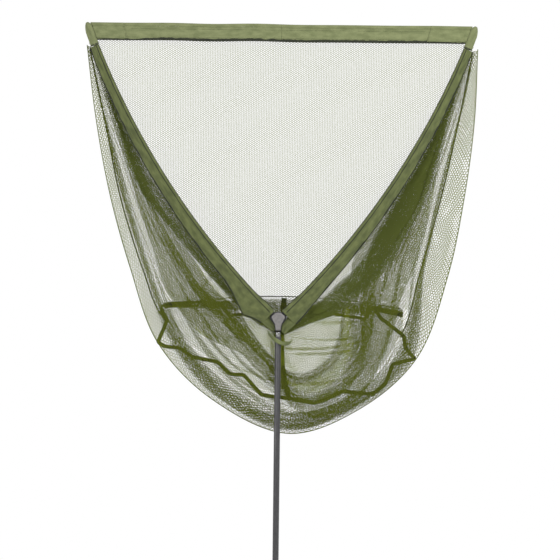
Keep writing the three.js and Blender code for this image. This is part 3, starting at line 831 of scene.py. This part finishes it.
class Panel:
    """A surface given as a table of points, rows x steps, that answers for cloth coordinates.

    y is counted from the step of each row whose number is in origin, along is where the rows lie in x,
    and shade numbers the material of each point, a copy of the netting colour with painted light or painted
    shade.
    """

    def __init__(self, points, closing, shade, along, origin, seed):
        gaps = np.linalg.norm(np.diff(points, axis=1), axis=2) * (closing[:, 1:] + closing[:, :-1]) / 2
        cloth_y = np.concatenate([np.zeros((len(points), 1)), np.cumsum(gaps, axis=1)], axis=1)
        self.width = cloth_y[:, -1]
        self.low = -cloth_y[np.arange(len(points)), origin]
        self.along = along
        self.seed = seed
        even = np.linspace(0, 1, points.shape[1])
        self.points = np.empty_like(points)
        self.shades = np.empty(points.shape[:2], int)
        for line, wide in enumerate(self.width):
            self.points[line] = interpolated(even * wide, cloth_y[line], points[line])
            self.shades[line] = shade[line, np.searchsorted(cloth_y[line], even * wide * 0.9999)]

    def spans(self):
        return (0, self.along[-1]), (self.low.min(), (self.low + self.width).max())

    def skewed(self, x, y):
        """x on a cloth that is a little out of square, so that the meshes of its layers don't line up."""
        end = self.along[-1]
        return x + 9 * ripple(x, y, (500, 120), self.seed) * smoothstep(x, 0, 60) * smoothstep(end - x, 0, 60)

    def row_of(self, x, y):
        return np.interp(self.skewed(x, y), self.along, np.arange(len(self.along)))

    def step_of(self, row, y):
        last = self.points.shape[1] - 1
        return np.clip((y - self.low[row]) / np.maximum(self.width[row], 1e-6), 0, 1) * last

    def on_row(self, row, y):
        step = self.step_of(row, y)
        left = np.clip(np.floor(step).astype(int), 0, self.points.shape[1] - 2)
        return lerp(self.points[row, left], self.points[row, left + 1], (step - left)[:, None])

    def place(self, x, y):
        row = self.row_of(x, y)
        low = np.clip(np.floor(row).astype(int), 0, len(self.along) - 2)
        return lerp(self.on_row(low, y), self.on_row(low + 1, y), (row - low)[:, None])

    def shade(self, x, y):
        row = np.round(self.row_of(x, y)).astype(int)
        return self.shades[row, np.round(self.step_of(row, y)).astype(int)]

    def inside(self, x, y):
        x = self.skewed(x, y)
        low = np.interp(x, self.along, self.low)
        high = low + np.interp(x, self.along, self.width)
        return (x > 0) & (x < self.along[-1]) & (y >= low) & (y <= high)


def toward_fold(place, soft=0.012):
    """How far from its edge to its outermost fold a place lies. The fold itself is rounded."""
    off = np.sqrt((1 - place) ** 2 + soft**2) - soft
    return 1 - off / (np.sqrt(1 + soft**2) - soft)


def side_panel():
    rows = np.linspace(0, LAST_ROW, SIDE_LINES)
    places, *ends = zip(*GATHERS)
    third_of_a_row = len(rows) // (3 * LAST_ROW)
    dense_start, dense_end, loose_start, loose_end, seam_start, seam_end = (
        eased(np.interp(rows, places, end), third_of_a_row, mode="edge") for end in ends
    )
    sleeve = np.zeros((len(rows), 1))
    narrow = pleats(rows, loose_start * 0.6 + 0.06, seam_end, PLEATS, PLEAT_WIDTH, 65)
    stops = [
        sleeve,
        turning_places(rows, dense_start, dense_end, DENSE_TURNS, 61),
        turning_places(rows, loose_start, loose_end, LOOSE_TURNS, 62),
        narrow,
        turning_places(rows, seam_start, seam_end, SEAM_TURNS, 63)[:, ::-1],
        sleeve + 2,
    ]
    place = folded(np.concatenate(stops, axis=1), SIDE_STEPS)
    hang, fold, seam = (curve(points, rows)[:, None] for points in (hang_points, fold_points, seam_points))
    across = place[..., None]
    front = lerp(hang, fold, toward_fold(across))
    behind = lerp(seam, fold, toward_fold(2 - across))
    points = np.where(across < 1, front, behind)
    # The gathers lie close together near the front, and the cloth beyond them goes back to the seam
    pace = np.abs(np.diff(place, axis=1)) * (0.25 + 1.5 * smoothstep(place[:, 1:], 0.78, 1.0))
    depth = np.concatenate([sleeve, np.cumsum(pace, axis=1)], axis=1)
    points[..., 1] = lerp(hang[..., 1], seam[..., 1], depth / depth[:, -1:])
    # The first few millimetres are sewn into the edge of the sleeve, in front of the rest
    out = np.linalg.norm(points - hang, axis=2)
    on_sleeve = smoothstep(np.abs(rows - MIDDLE_ROW), 0.9, 1.3)[:, None]
    first = np.linspace(0, 1, place.shape[1])[None] < 0.02
    points[..., 1] -= (NET_FRONT_Y - 1) * on_sleeve * first * np.exp(-((out / 14) ** 2))
    # The mesh is drawn together in the gathers and, less, towards them; the outermost fold is a crease
    closing = lerp(1.0, FREE_CLOSED, smoothstep(np.abs(1 - place), 0.03, 0.30))
    closing = closing + 2.5 * np.exp(-(((1 - place) / 0.008) ** 2))
    # Open netting gets the painted-light copy of the colour, and the pleats and gathers get the painted-shade
    # copies
    shade = np.full(place.shape, OPEN)
    for high, low in narrow.T.reshape(PLEATS, 2, -1, 1):
        shade[(place > low) & (place < high)] = LOOSE
    gathers = [
        (loose_start, loose_end, LOOSE_CLOSED, LOOSE),
        (seam_start, seam_end, SEAM_CLOSED, LOOSE),
        (dense_start - 0.02, dense_end, DENSE_CLOSED, DENSE),
    ]
    for low, high, closed, number in gathers:
        within = (place > low[:, None]) & (place < high[:, None])
        closing = np.where(within, np.maximum(closing, closed), closing)
        shade[within] = number
    along = lerp(run_of(hang[:, 0]), run_of(fold[:, 0]), 0.75)
    return Panel(points, closing, shade, along, np.argmax(place > 1, axis=1), 71)


def base_panel():
    """From the seam with the back down to the lower seam. Gathered at the top, with a few pleats below."""
    rows = np.linspace(4, 8, BASE_LINES)
    low = seam_line(rows)
    share = np.linspace(0, 1, len(rows))
    top_x = lerp(low[0, 0], low[-1, 0], share)
    top = points_at(top_x, back_y(back_seam_z(top_x)), back_seam_z(top_x))
    none = np.zeros((len(rows), 1))
    slack = np.sin(np.pi * share)[:, None]
    gathered = turning_places(rows, none[:, 0], none[:, 0] + BASE_GATHERED, BASE_TURNS, 64)
    narrow = pleats(rows, 0.24, 0.92, BASE_PLEATS, PLEAT_WIDTH, 66)
    middles = (narrow[:, ::2] + narrow[:, 1::2]).repeat(2, axis=1) / 2
    narrow = middles + (narrow - middles) * slack
    place = folded(np.concatenate([none, gathered, narrow, none + 1], axis=1), BASE_STEPS)
    points = top[:, None] + (low - top)[:, None] * place[..., None]
    depth = np.linspace(0, 1, place.shape[1])[None]
    points[..., 1] = lerp(top[:, None, 1], low[:, None, 1], depth)
    along = lerp(run_of(top), run_of(low), 0.5)
    # Near the top and at both ends, where the base is drawn in, the netting gets the painted-shade copy of
    # its colour; elsewhere it gets the painted-light one
    drawn_in = np.abs(share - 0.44)[:, None] > 0.32
    near_top = place < BASE_GATHERED
    shade = np.where(near_top | drawn_in, LOOSE, OPEN)
    return Panel(points, 1.1 + 0.3 * near_top, shade, along, np.zeros(len(rows), int), 72)


def seam_x(side, z):
    """The x of a side seam at heights above the base."""
    rows = np.linspace(0, 4, 80) if side < 0 else np.linspace(8, 12, 80)[::-1]
    line = seam_line(rows)[::-1]
    slope = (line[-1, 0] - line[-2, 0]) / (line[-1, 2] - line[-2, 2])
    beyond = line[-1, 0] + slope * (z - line[-1, 2])
    return np.where(z > line[-1, 2], beyond, np.interp(z, line[:, 2], line[:, 0]))


def back_place(x, y):
    """The back hangs flat from the hem. y counts down from it."""
    z = HEM_BOTTOM_Z + 2 - y
    slack = 3.0 * ripple(x, z, (420, 500), 5) * smoothstep(HEM_BOTTOM_Z - z, 0, 200)
    return points_at(x, back_y(z) + slack, z)


def back_inside(x, y):
    z = HEM_BOTTOM_Z + 2 - y
    return (y >= 0) & (x > seam_x(-1, z)) & (x < seam_x(1, z)) & (z > back_seam_z(x))


side_surface = side_panel()
base_surface = base_panel()
half_way = side_surface.along[len(side_surface.along) // 2]
cloth_so_far = np.concatenate(
    [[0], np.cumsum(np.diff(side_surface.along) * (side_surface.width[1:] + side_surface.width[:-1]) / 2)]
)
NETS_A_SIDE = 7
# The pieces of a panel are numbered from 0 on the left and from here on the right
ON_RIGHT = 100
# How far down the back, and at what height, the back's and the base's pieces end and the next ones start
BACK_SPLIT_Y = 330
BASE_SPLIT_Z = -60


def make_net(label, node_names, place, inside, spans, part_of, shade_of, scale=1.0):
    """Netting over a panel. node_names gives the left and right CAD node."""
    pieces = strand_mesh(place, inside, *spans, part_of, shade_of, scale)
    for part, (points, faces, shades, area) in pieces.items():
        side = -1 if part < ON_RIGHT else 1
        made = piece(f"{NAMES[side]}_{label}_{part % ON_RIGHT + 1}", points, faces, NET_SHADES[OPEN])
        # Each face takes the lit or shaded copy of the netting colour by its shade number: painted light or
        # painted shade
        for shade in NET_SHADES[1 : shades.max() + 1]:
            made.data.materials.append(shade)
        made.data.polygons.foreach_set("material_index", shades)
        follow(made, node_names.format(NAMES[side]))


def by_arm(x, y, position):
    """Numbers the side panels' pieces, each with as much cloth."""
    left = x < half_way
    middle = np.interp(half_way, side_surface.along, cloth_so_far)
    so_far = np.interp(x, side_surface.along, cloth_so_far)
    share = np.where(left, so_far / middle, (cloth_so_far[-1] - so_far) / (cloth_so_far[-1] - middle))
    return np.where(left, 0, ON_RIGHT) + np.clip(share * NETS_A_SIDE, 0, NETS_A_SIDE - 1).astype(int)


def first_on_side(position):
    return np.where(position[..., 0] < 0, 0, ON_RIGHT)


def by_height(x, y, position):
    return first_on_side(position) + (y > BACK_SPLIT_Y)


def by_depth(x, y, position):
    return first_on_side(position) + (position[..., 2] < BASE_SPLIT_Z)


# The back's netting all takes the painted-light copy of the netting colour
def all_open(x, y):
    return np.full(x.shape, OPEN)


# ---------------------------------------------------------------- sleeves, corner pockets and hem


def sleeve_grid(side, stations, width_at, round_at, seed, closed_from=None):
    """Cloth folded round the arm, with both its edges together on the side of the bag."""
    inner = np.linspace(np.pi, np.pi / 2, 10)
    part = np.linspace(0, 1, 15)[1:]
    s = stations[:, None]
    radius = round_at(s)
    width = width_at(s)
    arc = np.stack(circle(radius, inner), axis=-1)
    taper = 1.1 + (radius - 1.1) * (1 - smoothstep(part, 0, 0.92))
    flat = np.stack(np.broadcast_arrays(width * part, taper), axis=-1)
    half = np.concatenate([arc, flat], axis=1)
    section = np.concatenate([half[:, :0:-1] * [1, -1], half], axis=1)
    across, y = section[..., 0], section[..., 1]
    wrinkle = ripple(s, across, (60, 30), seed) * smoothstep(across, -2, 6) * 0.7
    wrinkle = wrinkle + 0.35 * ripple(s, across, (17, 26), seed + 1)
    y = y + wrinkle * (1 - 0.7 * smoothstep(across, width * 0.7, width))
    if closed_from is not None:
        shut = np.sqrt(np.clip(1 - smoothstep(s, closed_from, stations[-1]) ** 2, 0.0004, 1))
        y = y * shut
        across = lerp(width * 0.3, across, 0.35 + 0.65 * shut)
    return arm_point(side, s, across, y)


# Where the outer edge of a sleeve lies, by distance along the arm. It spreads towards the block, the
# left one more.
SLEEVE_EDGES = {
    -1: ([-26, 5, 35, 61, 89, 127, 172, ARM_LENGTH], [37, 39, 48, 62, 52, 41, 33, 18]),
    1: ([-41, 0, 43, 86, 182, ARM_LENGTH], [43, 44, 42, 37, 33, 18]),
}
SLEEVE_START = 3
SLEEVE_END = ARM_LENGTH - 68
# The block's flank, by distance along the arm's line, and where the cloth beside it ends
FLANK_EDGE = ([-40, -35.1, -25.7, -3.8, -1.2, 4], [29.6, 24.8, 17.2, 13.4, 10.6, 10.4])
TAIL_LOW = {-1: -38.5, 1: -40}
LEFT_TAIL_EDGE = ([TAIL_LOW[-1], -26, 5], [31, 37, 39])


def sleeve_edge(side, s):
    return np.interp(s, *SLEEVE_EDGES[side])


def make_sleeve(side):
    name = NAMES[side]
    stations = SLEEVE_START + (SLEEVE_END - SLEEVE_START) * np.linspace(0, 1, 300) ** 1.15

    def width_at(s):
        return sleeve_edge(side, s)

    grid = sleeve_grid(side, stations, width_at, sleeve_round, 20 + side)
    around = run_of(grid[120])[-1]
    length = stations[-1] - stations[0]
    made = cloth(f"{name}_sleeve_cloth", grid, CLOTH, sleeve_cloth, (length, around))
    follow(made, f"{name}_arm_sleeve")
    # Below its round part the cloth goes on beside the block, down to the neck
    s = np.linspace(SLEEVE_START + 0.4, TAIL_LOW[side], 60)
    inner = np.interp(s, *FLANK_EDGE)
    outer = np.interp(s, *LEFT_TAIL_EDGE) if side < 0 else sleeve_edge(side, s)
    share = np.linspace(0, 1, 24)[None]
    across = lerp(inner[:, None], np.maximum(outer, inner + 1)[:, None], share)
    crease = 0.5 * ripple(s[:, None], across, (26, 18), 34 + side) * np.sin(np.pi * share)
    grid = arm_point(side, s[:, None], across, crease)
    follow(cloth(f"{name}_sleeve_tail", grid, 2.4, sleeve_cloth, (45, 30)))
    s = stations[4:]
    for row, inset, y in (("outer", 3.2, -1.75), ("inner", 7.0, -2.0)):
        path = arm_point(side, s, sleeve_edge(side, s) - inset, y)
        stitches(f"{name}_sleeve_{row}_stitching", path)
    # The channel for the arm is closed by a seam on either side of it
    for label, turn in (("edge", 0.90), ("channel", 0.50)):
        across, depth = circle(sleeve_round(s) + 0.5, np.pi * turn)
        path = arm_point(side, s, across, -depth)
        follow(ribbon(f"{name}_sleeve_{label}_seam", path, 2.4, 1.6, tape_cloth))
    # Binding over the edge where the netting is sewn in
    s = stations[2:]
    path = arm_point(side, s, sleeve_edge(side, s) + 0.4, 0.2 + 0.5 * ripple(s, 0, (90, 90), 31))
    follow(ribbon(f"{name}_sleeve_binding", path, 4.6, 3.4, tape_cloth))


def make_pocket(side):
    name = NAMES[side]
    start = ARM_LENGTH - 66
    stations = start + 72 * np.linspace(0, 1, 40)

    def width_at(s):
        return sleeve_width(s) - 3 - 5 * smoothstep(s, ARM_LENGTH - 25, ARM_LENGTH + 6)

    def round_at(s):
        return sleeve_round(s) + 1.6

    grid = sleeve_grid(side, stations, width_at, round_at, 40 + side, closed_from=ARM_LENGTH - 12)
    around = run_of(grid[8])[-1]
    made = cloth(f"{name}_pocket_cloth", grid, 1.0, hem_cloth, (72, around))
    follow(made, f"{name}_corner_pocket")
    # A cuff round the pocket's mouth: from the bag's side round the arm and back
    radius = round_at(start) + 0.6
    out, thick = np.linspace(0, width_at(start), 12)[1:], np.linspace(radius, 1.6, 12)[1:]
    bend, depth = circle(radius, np.linspace(np.pi * 0.52, np.pi * 1.48, 30))
    across = np.concatenate([out[::-1], bend, out])
    y = np.concatenate([thick[::-1], depth, -thick])
    path = smooth_path(arm_point(side, start + 2, across, y), 2.0)
    follow(rope(f"{name}_pocket_cuff", path, 1.2, tape_cloth, sides=8))


def hem_end(z):
    return arm_point(1, ARM_LENGTH - (CORD_Z - z))[..., 0] - 9


def hem_section(swell):
    """Heights and depths from the front bottom edge, over the cord, to the rear bottom edge."""
    low = np.linspace(HEM_BOTTOM_Z, CORD_Z - 10, 12)
    rise = np.linspace(0, 1, 12)
    front = np.stack([low, -(1.0 + 1.1 * rise**2)], axis=1)
    turn = np.linspace(-0.42 * np.pi, np.pi / 2, 9)
    top = np.stack([HEM_TOP_Z - 5.4 + 5.0 * np.sin(turn), -3.1 * np.cos(turn)], axis=1)
    half = np.concatenate([front, top])
    half[:, 1] -= swell
    return np.concatenate([half, half[-2::-1] * [1, -1]])


def hem_sag(x, share):
    return 1.6 * ripple(x, 0 * x, (300, 100), 7) * (1 - share**4)


def hem_grid(side, start, end, swell=0.0):
    """start and end are shares of the half hem, from the middle to the corner."""
    section = hem_section(swell)
    share = np.linspace(start, end, int(260 * (end - start)) + 4)[:, None]
    z, y = section[None, :, 0], section[None, :, 1]
    x = side * share * hem_end(z)
    crease = ripple(x, z, (26, 70), 50 + side) * 0.45 + ripple(x, z, (140, 60), 9) * 0.7
    free = smoothstep(HEM_TOP_Z - z, 3, 18) * smoothstep(z, HEM_BOTTOM_Z, HEM_BOTTOM_Z + 8)
    gather = 1 + 2.2 * smoothstep(share, 0.72, 1.0)
    y = y + np.where(y < 0, -1, 1) * np.abs(crease * free * gather)
    return points_at(x, y, z + 0.5 * hem_sag(x, share))


# Where the corners' second layer of cloth starts, as a share of the half hem
PATCH_STARTS = {-1: 464 / 560, 1: 439 / 560}


def make_hem(side):
    name = NAMES[side]
    grid = hem_grid(side, 0, 1)
    around = run_of(grid[20])[-1]
    length = abs(grid[-1, 0, 0])
    made = cloth(f"{name}_hem_cloth", grid, CLOTH, hem_cloth, (length, around))
    follow(made, "top_hem")
    # The second layer is sewn down along its upright edge
    start = PATCH_STARTS[side]
    patch = hem_grid(side, start, 0.995, swell=1.3)[:, 1:-1]
    doubled = cloth(f"{name}_hem_corner_patch", patch, CLOTH, hem_cloth, (100, around))
    follow(doubled)
    share = np.linspace(0, 1, 160)
    x = side * share * (hem_end(HEM_BOTTOM_Z) + 3)
    below = points_at(x, 0, HEM_BOTTOM_Z + 2.5 + 0.5 * hem_sag(x, share))
    follow(ribbon(f"{name}_hem_binding", below, 9.0, 4.2, tape_cloth))
    for row, y, z in (("lower", -2.4, HEM_BOTTOM_Z + 8), ("upper", -3.1, CORD_Z - 11)):
        stitches(f"{name}_hem_{row}_stitching", points_at(side * share * hem_end(z), y, z))
    upright = np.linspace(HEM_BOTTOM_Z + 6, HEM_TOP_Z - 8, 14)
    edge = points_at(side * (start * hem_end(upright) + 2.5), -4.0, upright)
    stitches(f"{name}_hem_patch_stitching", edge)


# Turns of the cord's strands for each millimetre of its length
CORD_LAY = 0.11


def make_spreader_cord(side):
    reach = arm_point(1, ARM_LENGTH - 20)[0] - 12
    path = points_at(side * reach * np.linspace(0, 1, 240), 0, CORD_Z - 2)
    made = rope(f"{NAMES[side]}_spreader_cord", path, CORD_R, cord_white, twist=CORD_LAY)
    follow(made, "spreader_cord")


for side in (-1, 1):
    make_spreader_cord(side)
    make_sleeve(side)
    make_pocket(side)
    make_hem(side)

make_net(
    "side_net", "{}_side_netting", side_surface.place, side_surface.inside,
    side_surface.spans(), by_arm, side_surface.shade, SIDE_SCALE,
)
make_net(
    "back_net", "back_netting", back_place, back_inside,
    ((-590, 590), (0, 860)), by_height, all_open,
)
make_net(
    "base_net", "base_netting", base_surface.place, base_surface.inside,
    base_surface.spans(), by_depth, base_surface.shade, BASE_SCALE,
)

# ---------------------------------------------------------------- seams and tapes of the bag


def split(name, path, width, thickness, material, node_name=None):
    """A tape across the bag from left to right, as two pieces that meet at the middle."""
    middle = interpolated([0], path[:, 0], path)
    left = np.concatenate([path[path[:, 0] <= 0], middle])
    right = np.concatenate([middle, path[path[:, 0] >= 0]])
    for side, half in ((-1, left), (1, right)):
        made = ribbon(f"{NAMES[side]}_{name}", half, width, thickness, material)
        follow(made, node_name)


def on_back(points, behind=4.0):
    return [further_back(x, z, back_y(z) + behind) for x, z in points]


for side, rows in ((-1, np.linspace(0, 4.1, 60)), (1, np.linspace(7.9, 12, 60))):
    line = smooth_path(seam_line(rows), 4.0)
    line[:, 1] += 1.0
    follow(ribbon(f"{NAMES[side]}_side_seam", line, 4.2, 2.2, tape_cloth))

across = np.linspace(-352, 374, 180)
seam = points_at(across, back_y(back_seam_z(across)) + 1.5, back_seam_z(across))
split("back_seam_piping", seam, 3.2, 2.0, tape_cloth)

# The strands bunched along the outermost fold, in the painted-shade copy of the netting colour
fold_run = np.linspace(0, side_surface.along[-1], 400)
outer_fold = creased_path(side_surface.place(fold_run, 0 * fold_run))
split("outer_fold", outer_fold, 2.6, 1.2, NET_SHADES[DENSE])

# The tapes' corners, as x and z
UPPER_RUN = [
    (-354, 35), (-335, 46), (-300, 48), (-259, 51), (-205, 51), (-169, 49), (-148, 10), (-112, 17),
    (-76, 7), (-48, -8), (0, -26), (48, -16), (78, 14), (125, 16), (152, 21), (203, 14), (263, 6),
    (281, 42), (325, 34), (374, 22),
]
LOWER_LEFT = [
    (-354, 35), (-334, -7), (-360, -70), (-340, -83), (-297, -87), (-255, -114), (-180, -128),
    (-143, -164), (-101, -166), (-49, -224), (-10, -231), (0, -231),
]
LOWER_RIGHT = [
    (0, -231), (41, -235), (110, -249), (155, -232), (197, -211), (240, -216), (287, -219),
    (324, -188), (346, -128), (411, -112), (381, -77), (378, -44), (308, 9), (283, 42),
]
CENTRE_RUN = [(17, 66), (13, 0), (11, -60), (14, -135), (23, -190), (35, -232)]
TAPE_WIDE = 12
OVERLAP_WIDE = 16
split("upper_tape", creased_path(on_back(UPPER_RUN)), 9, 1.8, tape_cloth, "back_seam_tape")
for side, run in ((-1, LOWER_LEFT), (1, LOWER_RIGHT)):
    made = ribbon(f"{NAMES[side]}_lower_tape", creased_path(on_back(run)), TAPE_WIDE, 1.8, tape_cloth)
    follow(made, "base_seam_tape")
for side, run in ((-1, [(-340, 40), (-262, 44)]), (1, [(283, 38), (374, 20)])):
    path = creased_path(on_back(run, 2.0))
    follow(ribbon(f"{NAMES[side]}_tape_overlap", path, OVERLAP_WIDE, 2.0, tape_cloth))
centre = ribbon("centre_tape_webbing", smooth_path(on_back(CENTRE_RUN), 3.0), 16, 1.8, tape_cloth)
follow(centre, "centre_tape")

# The strap loops across the front of the handle, and faces away from a line behind it
STRAP_RUN = [
    (-31, 10, -38), (-25, 0, -44), (-13, -10, -55), (4, -13, -66), (20, -8, -71), (33, 2, -69),
    (41, 10, -63),
]
strap_path = smooth_path(STRAP_RUN, 1.5)
strap_up = unit((strap_path - [4, 8, 0]) * [1, 1, 0])
strap = ribbon("strap_webbing", strap_path, TAPE_WIDE, 1.4, strap_cloth, strap_up)
stands_for(strap, "head", "retaining_strap")

# ---------------------------------------------------------------- block, screw and handle

# Half the width of the block's grey shield, by height
SHIELD_EDGE = ([-32, -26, -11, 7, 12, 21, 22], [7.2, 7.2, 10.5, 19.5, 18.5, 8, 0])


def moulded_block():
    """The block's CAD shape, taken over as a moulding with soft edges and fillets."""
    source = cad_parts["spreader_block"]
    mesh = source.data.copy()
    mesh.transform(source.matrix_world)
    made = bpy.data.objects.new("block_moulding", mesh)
    bpy.context.collection.objects.link(made)
    remesh = made.modifiers.new("remesh", "REMESH")
    remesh.mode = "VOXEL"
    remesh.voxel_size = 0.0007
    remesh.use_smooth_shade = True
    soften = made.modifiers.new("soften", "SMOOTH")
    soften.factor = 0.5
    soften.iterations = 6
    evaluated = made.evaluated_get(bpy.context.evaluated_depsgraph_get())
    shape = bpy.data.meshes.new_from_object(evaluated)
    made.modifiers.clear()
    made.data = shape
    shape.materials.clear()
    shape.materials.append(block_plastic)
    shape.materials.append(black_plastic)
    # The shield on the front and back is grey, and the flanks beside it are black
    centres = np.empty(len(shape.polygons) * 3)
    shape.polygons.foreach_get("center", centres)
    x, height = centres[0::3] * 1000, centres[2::3] * 1000 - GRIP_TO_BLOCK
    beside_shield = np.abs(x) > np.interp(height, *SHIELD_EDGE)
    shape.polygons.foreach_set("material_index", beside_shield.astype(int))
    return made


stands_for(moulded_block(), "head", "spreader_block")


def threaded_stud():
    """A stud with its thread cut as one continuous groove."""
    bottom, top = NECK_BOTTOM_Z - STUD_REACH, NECK_BOTTOM_Z + STUD_SUNK
    steps = int((top - bottom) / THREAD_PITCH * 12)
    z = np.linspace(bottom, top, steps)[:, None]
    turn = turns(36)[None]
    phase = (z / THREAD_PITCH - turn / (2 * np.pi)) % 1
    depth = 0.72 * np.abs(2 * phase - 1)
    point = 1 - 0.22 * (1 - smoothstep(z, bottom, bottom + 1.5))
    radius = (STUD_R - depth * smoothstep(z, bottom, bottom + 0.6)) * point
    return bar("stud_thread", points_at(*circle(radius, turn), z), brass, smooth=False)


stands_for(threaded_stud(), "head", "threaded_stud")


def turned(name, outline, radius, steps, material, body, node_name):
    """A piece turned on the handle's axis, in place of a CAD node, with its corners rounded."""
    stands_for(lathe(name, rounded(outline, radius, steps), material), body, node_name)


def tube(bore, outside, low, high):
    return [[bore, low], [outside, low], [outside, high], [bore, high]]


turned(
    "lock_ring_rubber", tube(STUD_BORE_R, TUBE_R, COLLAR_TOP_Z + FIT_GAP, NECK_BOTTOM_Z - FIT_GAP), 0.9, 4,
    black_rubber, "washer", "lock_ring",
)

spigot_r = TUBE_BORE_R - FIT_GAP
collar_r = TUBE_R - 0.8
stud_room = COLLAR_TOP_Z - STUD_REACH - 4
collar = [
    [0, TUBE_TOP_Z - 40], [spigot_r, TUBE_TOP_Z - 40], [spigot_r, TUBE_TOP_Z],
    [collar_r, TUBE_TOP_Z], [collar_r, TUBE_TOP_Z + 3], [collar_r - 0.5, TUBE_TOP_Z + 3.5],
    [collar_r - 0.5, TUBE_TOP_Z + 4.5], [collar_r, TUBE_TOP_Z + 5], [collar_r, COLLAR_TOP_Z - 3],
    [collar_r - 0.4, COLLAR_TOP_Z - 2.6], [collar_r - 0.4, COLLAR_TOP_Z - 1.6],
    [collar_r - 0.2, COLLAR_TOP_Z - 1], [collar_r - 1, COLLAR_TOP_Z], [STUD_BORE_R, COLLAR_TOP_Z],
    [STUD_BORE_R, stud_room], [0, stud_room],
]
turned("collar_insert", collar, 0.25, 3, bright_metal, "handle_upper", "threaded_insert")

upper = tube(TUBE_BORE_R, TUBE_R, JOINT_Z + FIT_GAP, TUBE_TOP_Z - FIT_GAP)
turned("upper_tube_carbon", upper, 0.35, 3, carbon, "handle_upper", "upper_handle_tube")

spigot = tube(5.6, spigot_r, JOINT_Z - 95, JOINT_Z + 120)
turned("spigot_carbon", spigot, 0.8, 4, carbon, "handle_upper", "spigot")

cap_inside_z = BUTT_Z + 4
lower = tube(TUBE_BORE_R, TUBE_R, cap_inside_z, JOINT_Z - FIT_GAP)
turned("lower_tube_carbon", lower, 0.35, 3, carbon, "handle_lower", "lower_handle_tube")

over_tube_r = TUBE_R + FIT_GAP
ring_r = TUBE_R + 1.6
joint = [
    [over_tube_r, JOINT_Z - 28], [ring_r - 0.5, JOINT_Z - 28], [ring_r, JOINT_Z - 26],
    [ring_r, JOINT_Z - 22], [ring_r - 0.5, JOINT_Z - 21], [ring_r - 0.5, JOINT_Z - 9],
    [ring_r, JOINT_Z - 8], [ring_r, JOINT_Z - 4], [ring_r - 0.5, JOINT_Z - 2],
    [over_tube_r, JOINT_Z - 2],
]
turned("joint_ring_cover", joint, 0.5, 3, black_plastic, "handle_lower", "joint_ring")

# Foam with shallow rings near both ends, faired down to the tube at the top
grip_low, grip_high = GRIP_BOTTOM_Z + FIT_GAP, GRIP_BOTTOM_Z + GRIP_LENGTH
grip = [[over_tube_r, grip_low], [GRIP_R - 1.5, grip_low], [GRIP_R, grip_low + 3]]
for first in (grip_low + 14, grip_high - 66):
    for z in first + 9 * np.arange(4):
        grip += [[GRIP_R, z - 1.6], [GRIP_R - 0.9, z], [GRIP_R, z + 1.6]]
grip += [[GRIP_R, grip_high - 24], [GRIP_R - 1.5, grip_high - 10]]
grip += [[over_tube_r + 1, grip_high], [over_tube_r, grip_high]]
turned("grip_sleeve", grip, 1.2, 4, grip_foam, "handle_lower", "hand_grip")

cap_r = GRIP_R - 0.5
butt = [[0, BUTT_Z + 0.6], [cap_r - 4, BUTT_Z], [cap_r - 1.5, BUTT_Z], [cap_r, BUTT_Z + 2]]
for z in BUTT_Z + 7 + 4 * np.arange(3):
    butt += [[cap_r, z - 1], [cap_r - 0.6, z], [cap_r, z + 1]]
butt += [[cap_r, GRIP_BOTTOM_Z], [over_tube_r, GRIP_BOTTOM_Z]]
butt += [[over_tube_r, cap_inside_z - FIT_GAP], [0, cap_inside_z - FIT_GAP]]
turned("butt_cap_rubber", butt, 0.6, 3, black_rubber, "handle_lower", "butt_cap")

# Distance along the arm and radius. The tip's distances are counted from the arm's end.
rod_s = np.concatenate(
    [[-15.4, -14.8], np.linspace(-14, ARM_LENGTH - 2, 140), [ARM_LENGTH - 0.8, ARM_LENGTH - FIT_GAP]]
)
rod_radius = lerp(5.5, 3.0, np.clip(rod_s / ARM_LENGTH, 0, 1))
rod_radius[[0, -1]] -= 0.8
ROD = np.stack([rod_s, rod_radius], axis=1)
FERRULE = [
    (-15.4, 5.9), (-14.6, 6.4), (-13.5, 6.5), (30, 6.5), (31, 6.2), (32.5, 6.2), (34, 6.5), (35, 6.5),
    (44, 6.5), (45, 6.3), (46.6, 5.9),
]
TIP = [
    (-20, 4.4), (-19.4, 4.8), (-18.5, 5), (-8, 5), (-7, 4.7), (-5.5, 4.7), (-4.5, 5), (-3, 5),
    (-1, 4.8), (0.8, 4.1), (1.7, 2.8), (2, 1.0),
]


LOOP_S = ARM_LENGTH - 22.5
LOOP_R = 4.9


def on_arm(name, side, outline, material, node_name):
    """A piece turned on the arm's middle line, in place of a CAD node."""
    s, radius = np.array(outline, float).T[..., None]
    rings = arm_point(side, s, *circle(radius, turns(28)[None]))
    made = bar(f"{NAMES[side]}_{name}", rings, material)
    stands_for(made, f"{NAMES[side]}_arm", f"{NAMES[side]}_{node_name}")


for side in (-1, 1):
    on_arm("rod_carbon", side, ROD, carbon, "arm_rod")
    on_arm("ferrule_sleeve", side, FERRULE, black_plastic, "arm_ferrule")
    tip = np.array(TIP) + [ARM_LENGTH, 0]
    on_arm("tip_cover", side, tip, black_plastic, "tip_cap")
    # The cord's end loop, laid a little aslant round the arm
    turn = np.linspace(0, 2 * np.pi, 60)
    path = arm_point(side, LOOP_S + 0.6 * np.sin(turn), *circle(LOOP_R, turn))
    loop = rope(f"{NAMES[side]}_loop_cord", path, CORD_R - 0.1, cord_white, twist=CORD_LAY)
    stands_for(loop, f"{NAMES[side]}_arm", f"{NAMES[side]}_cord_loop")
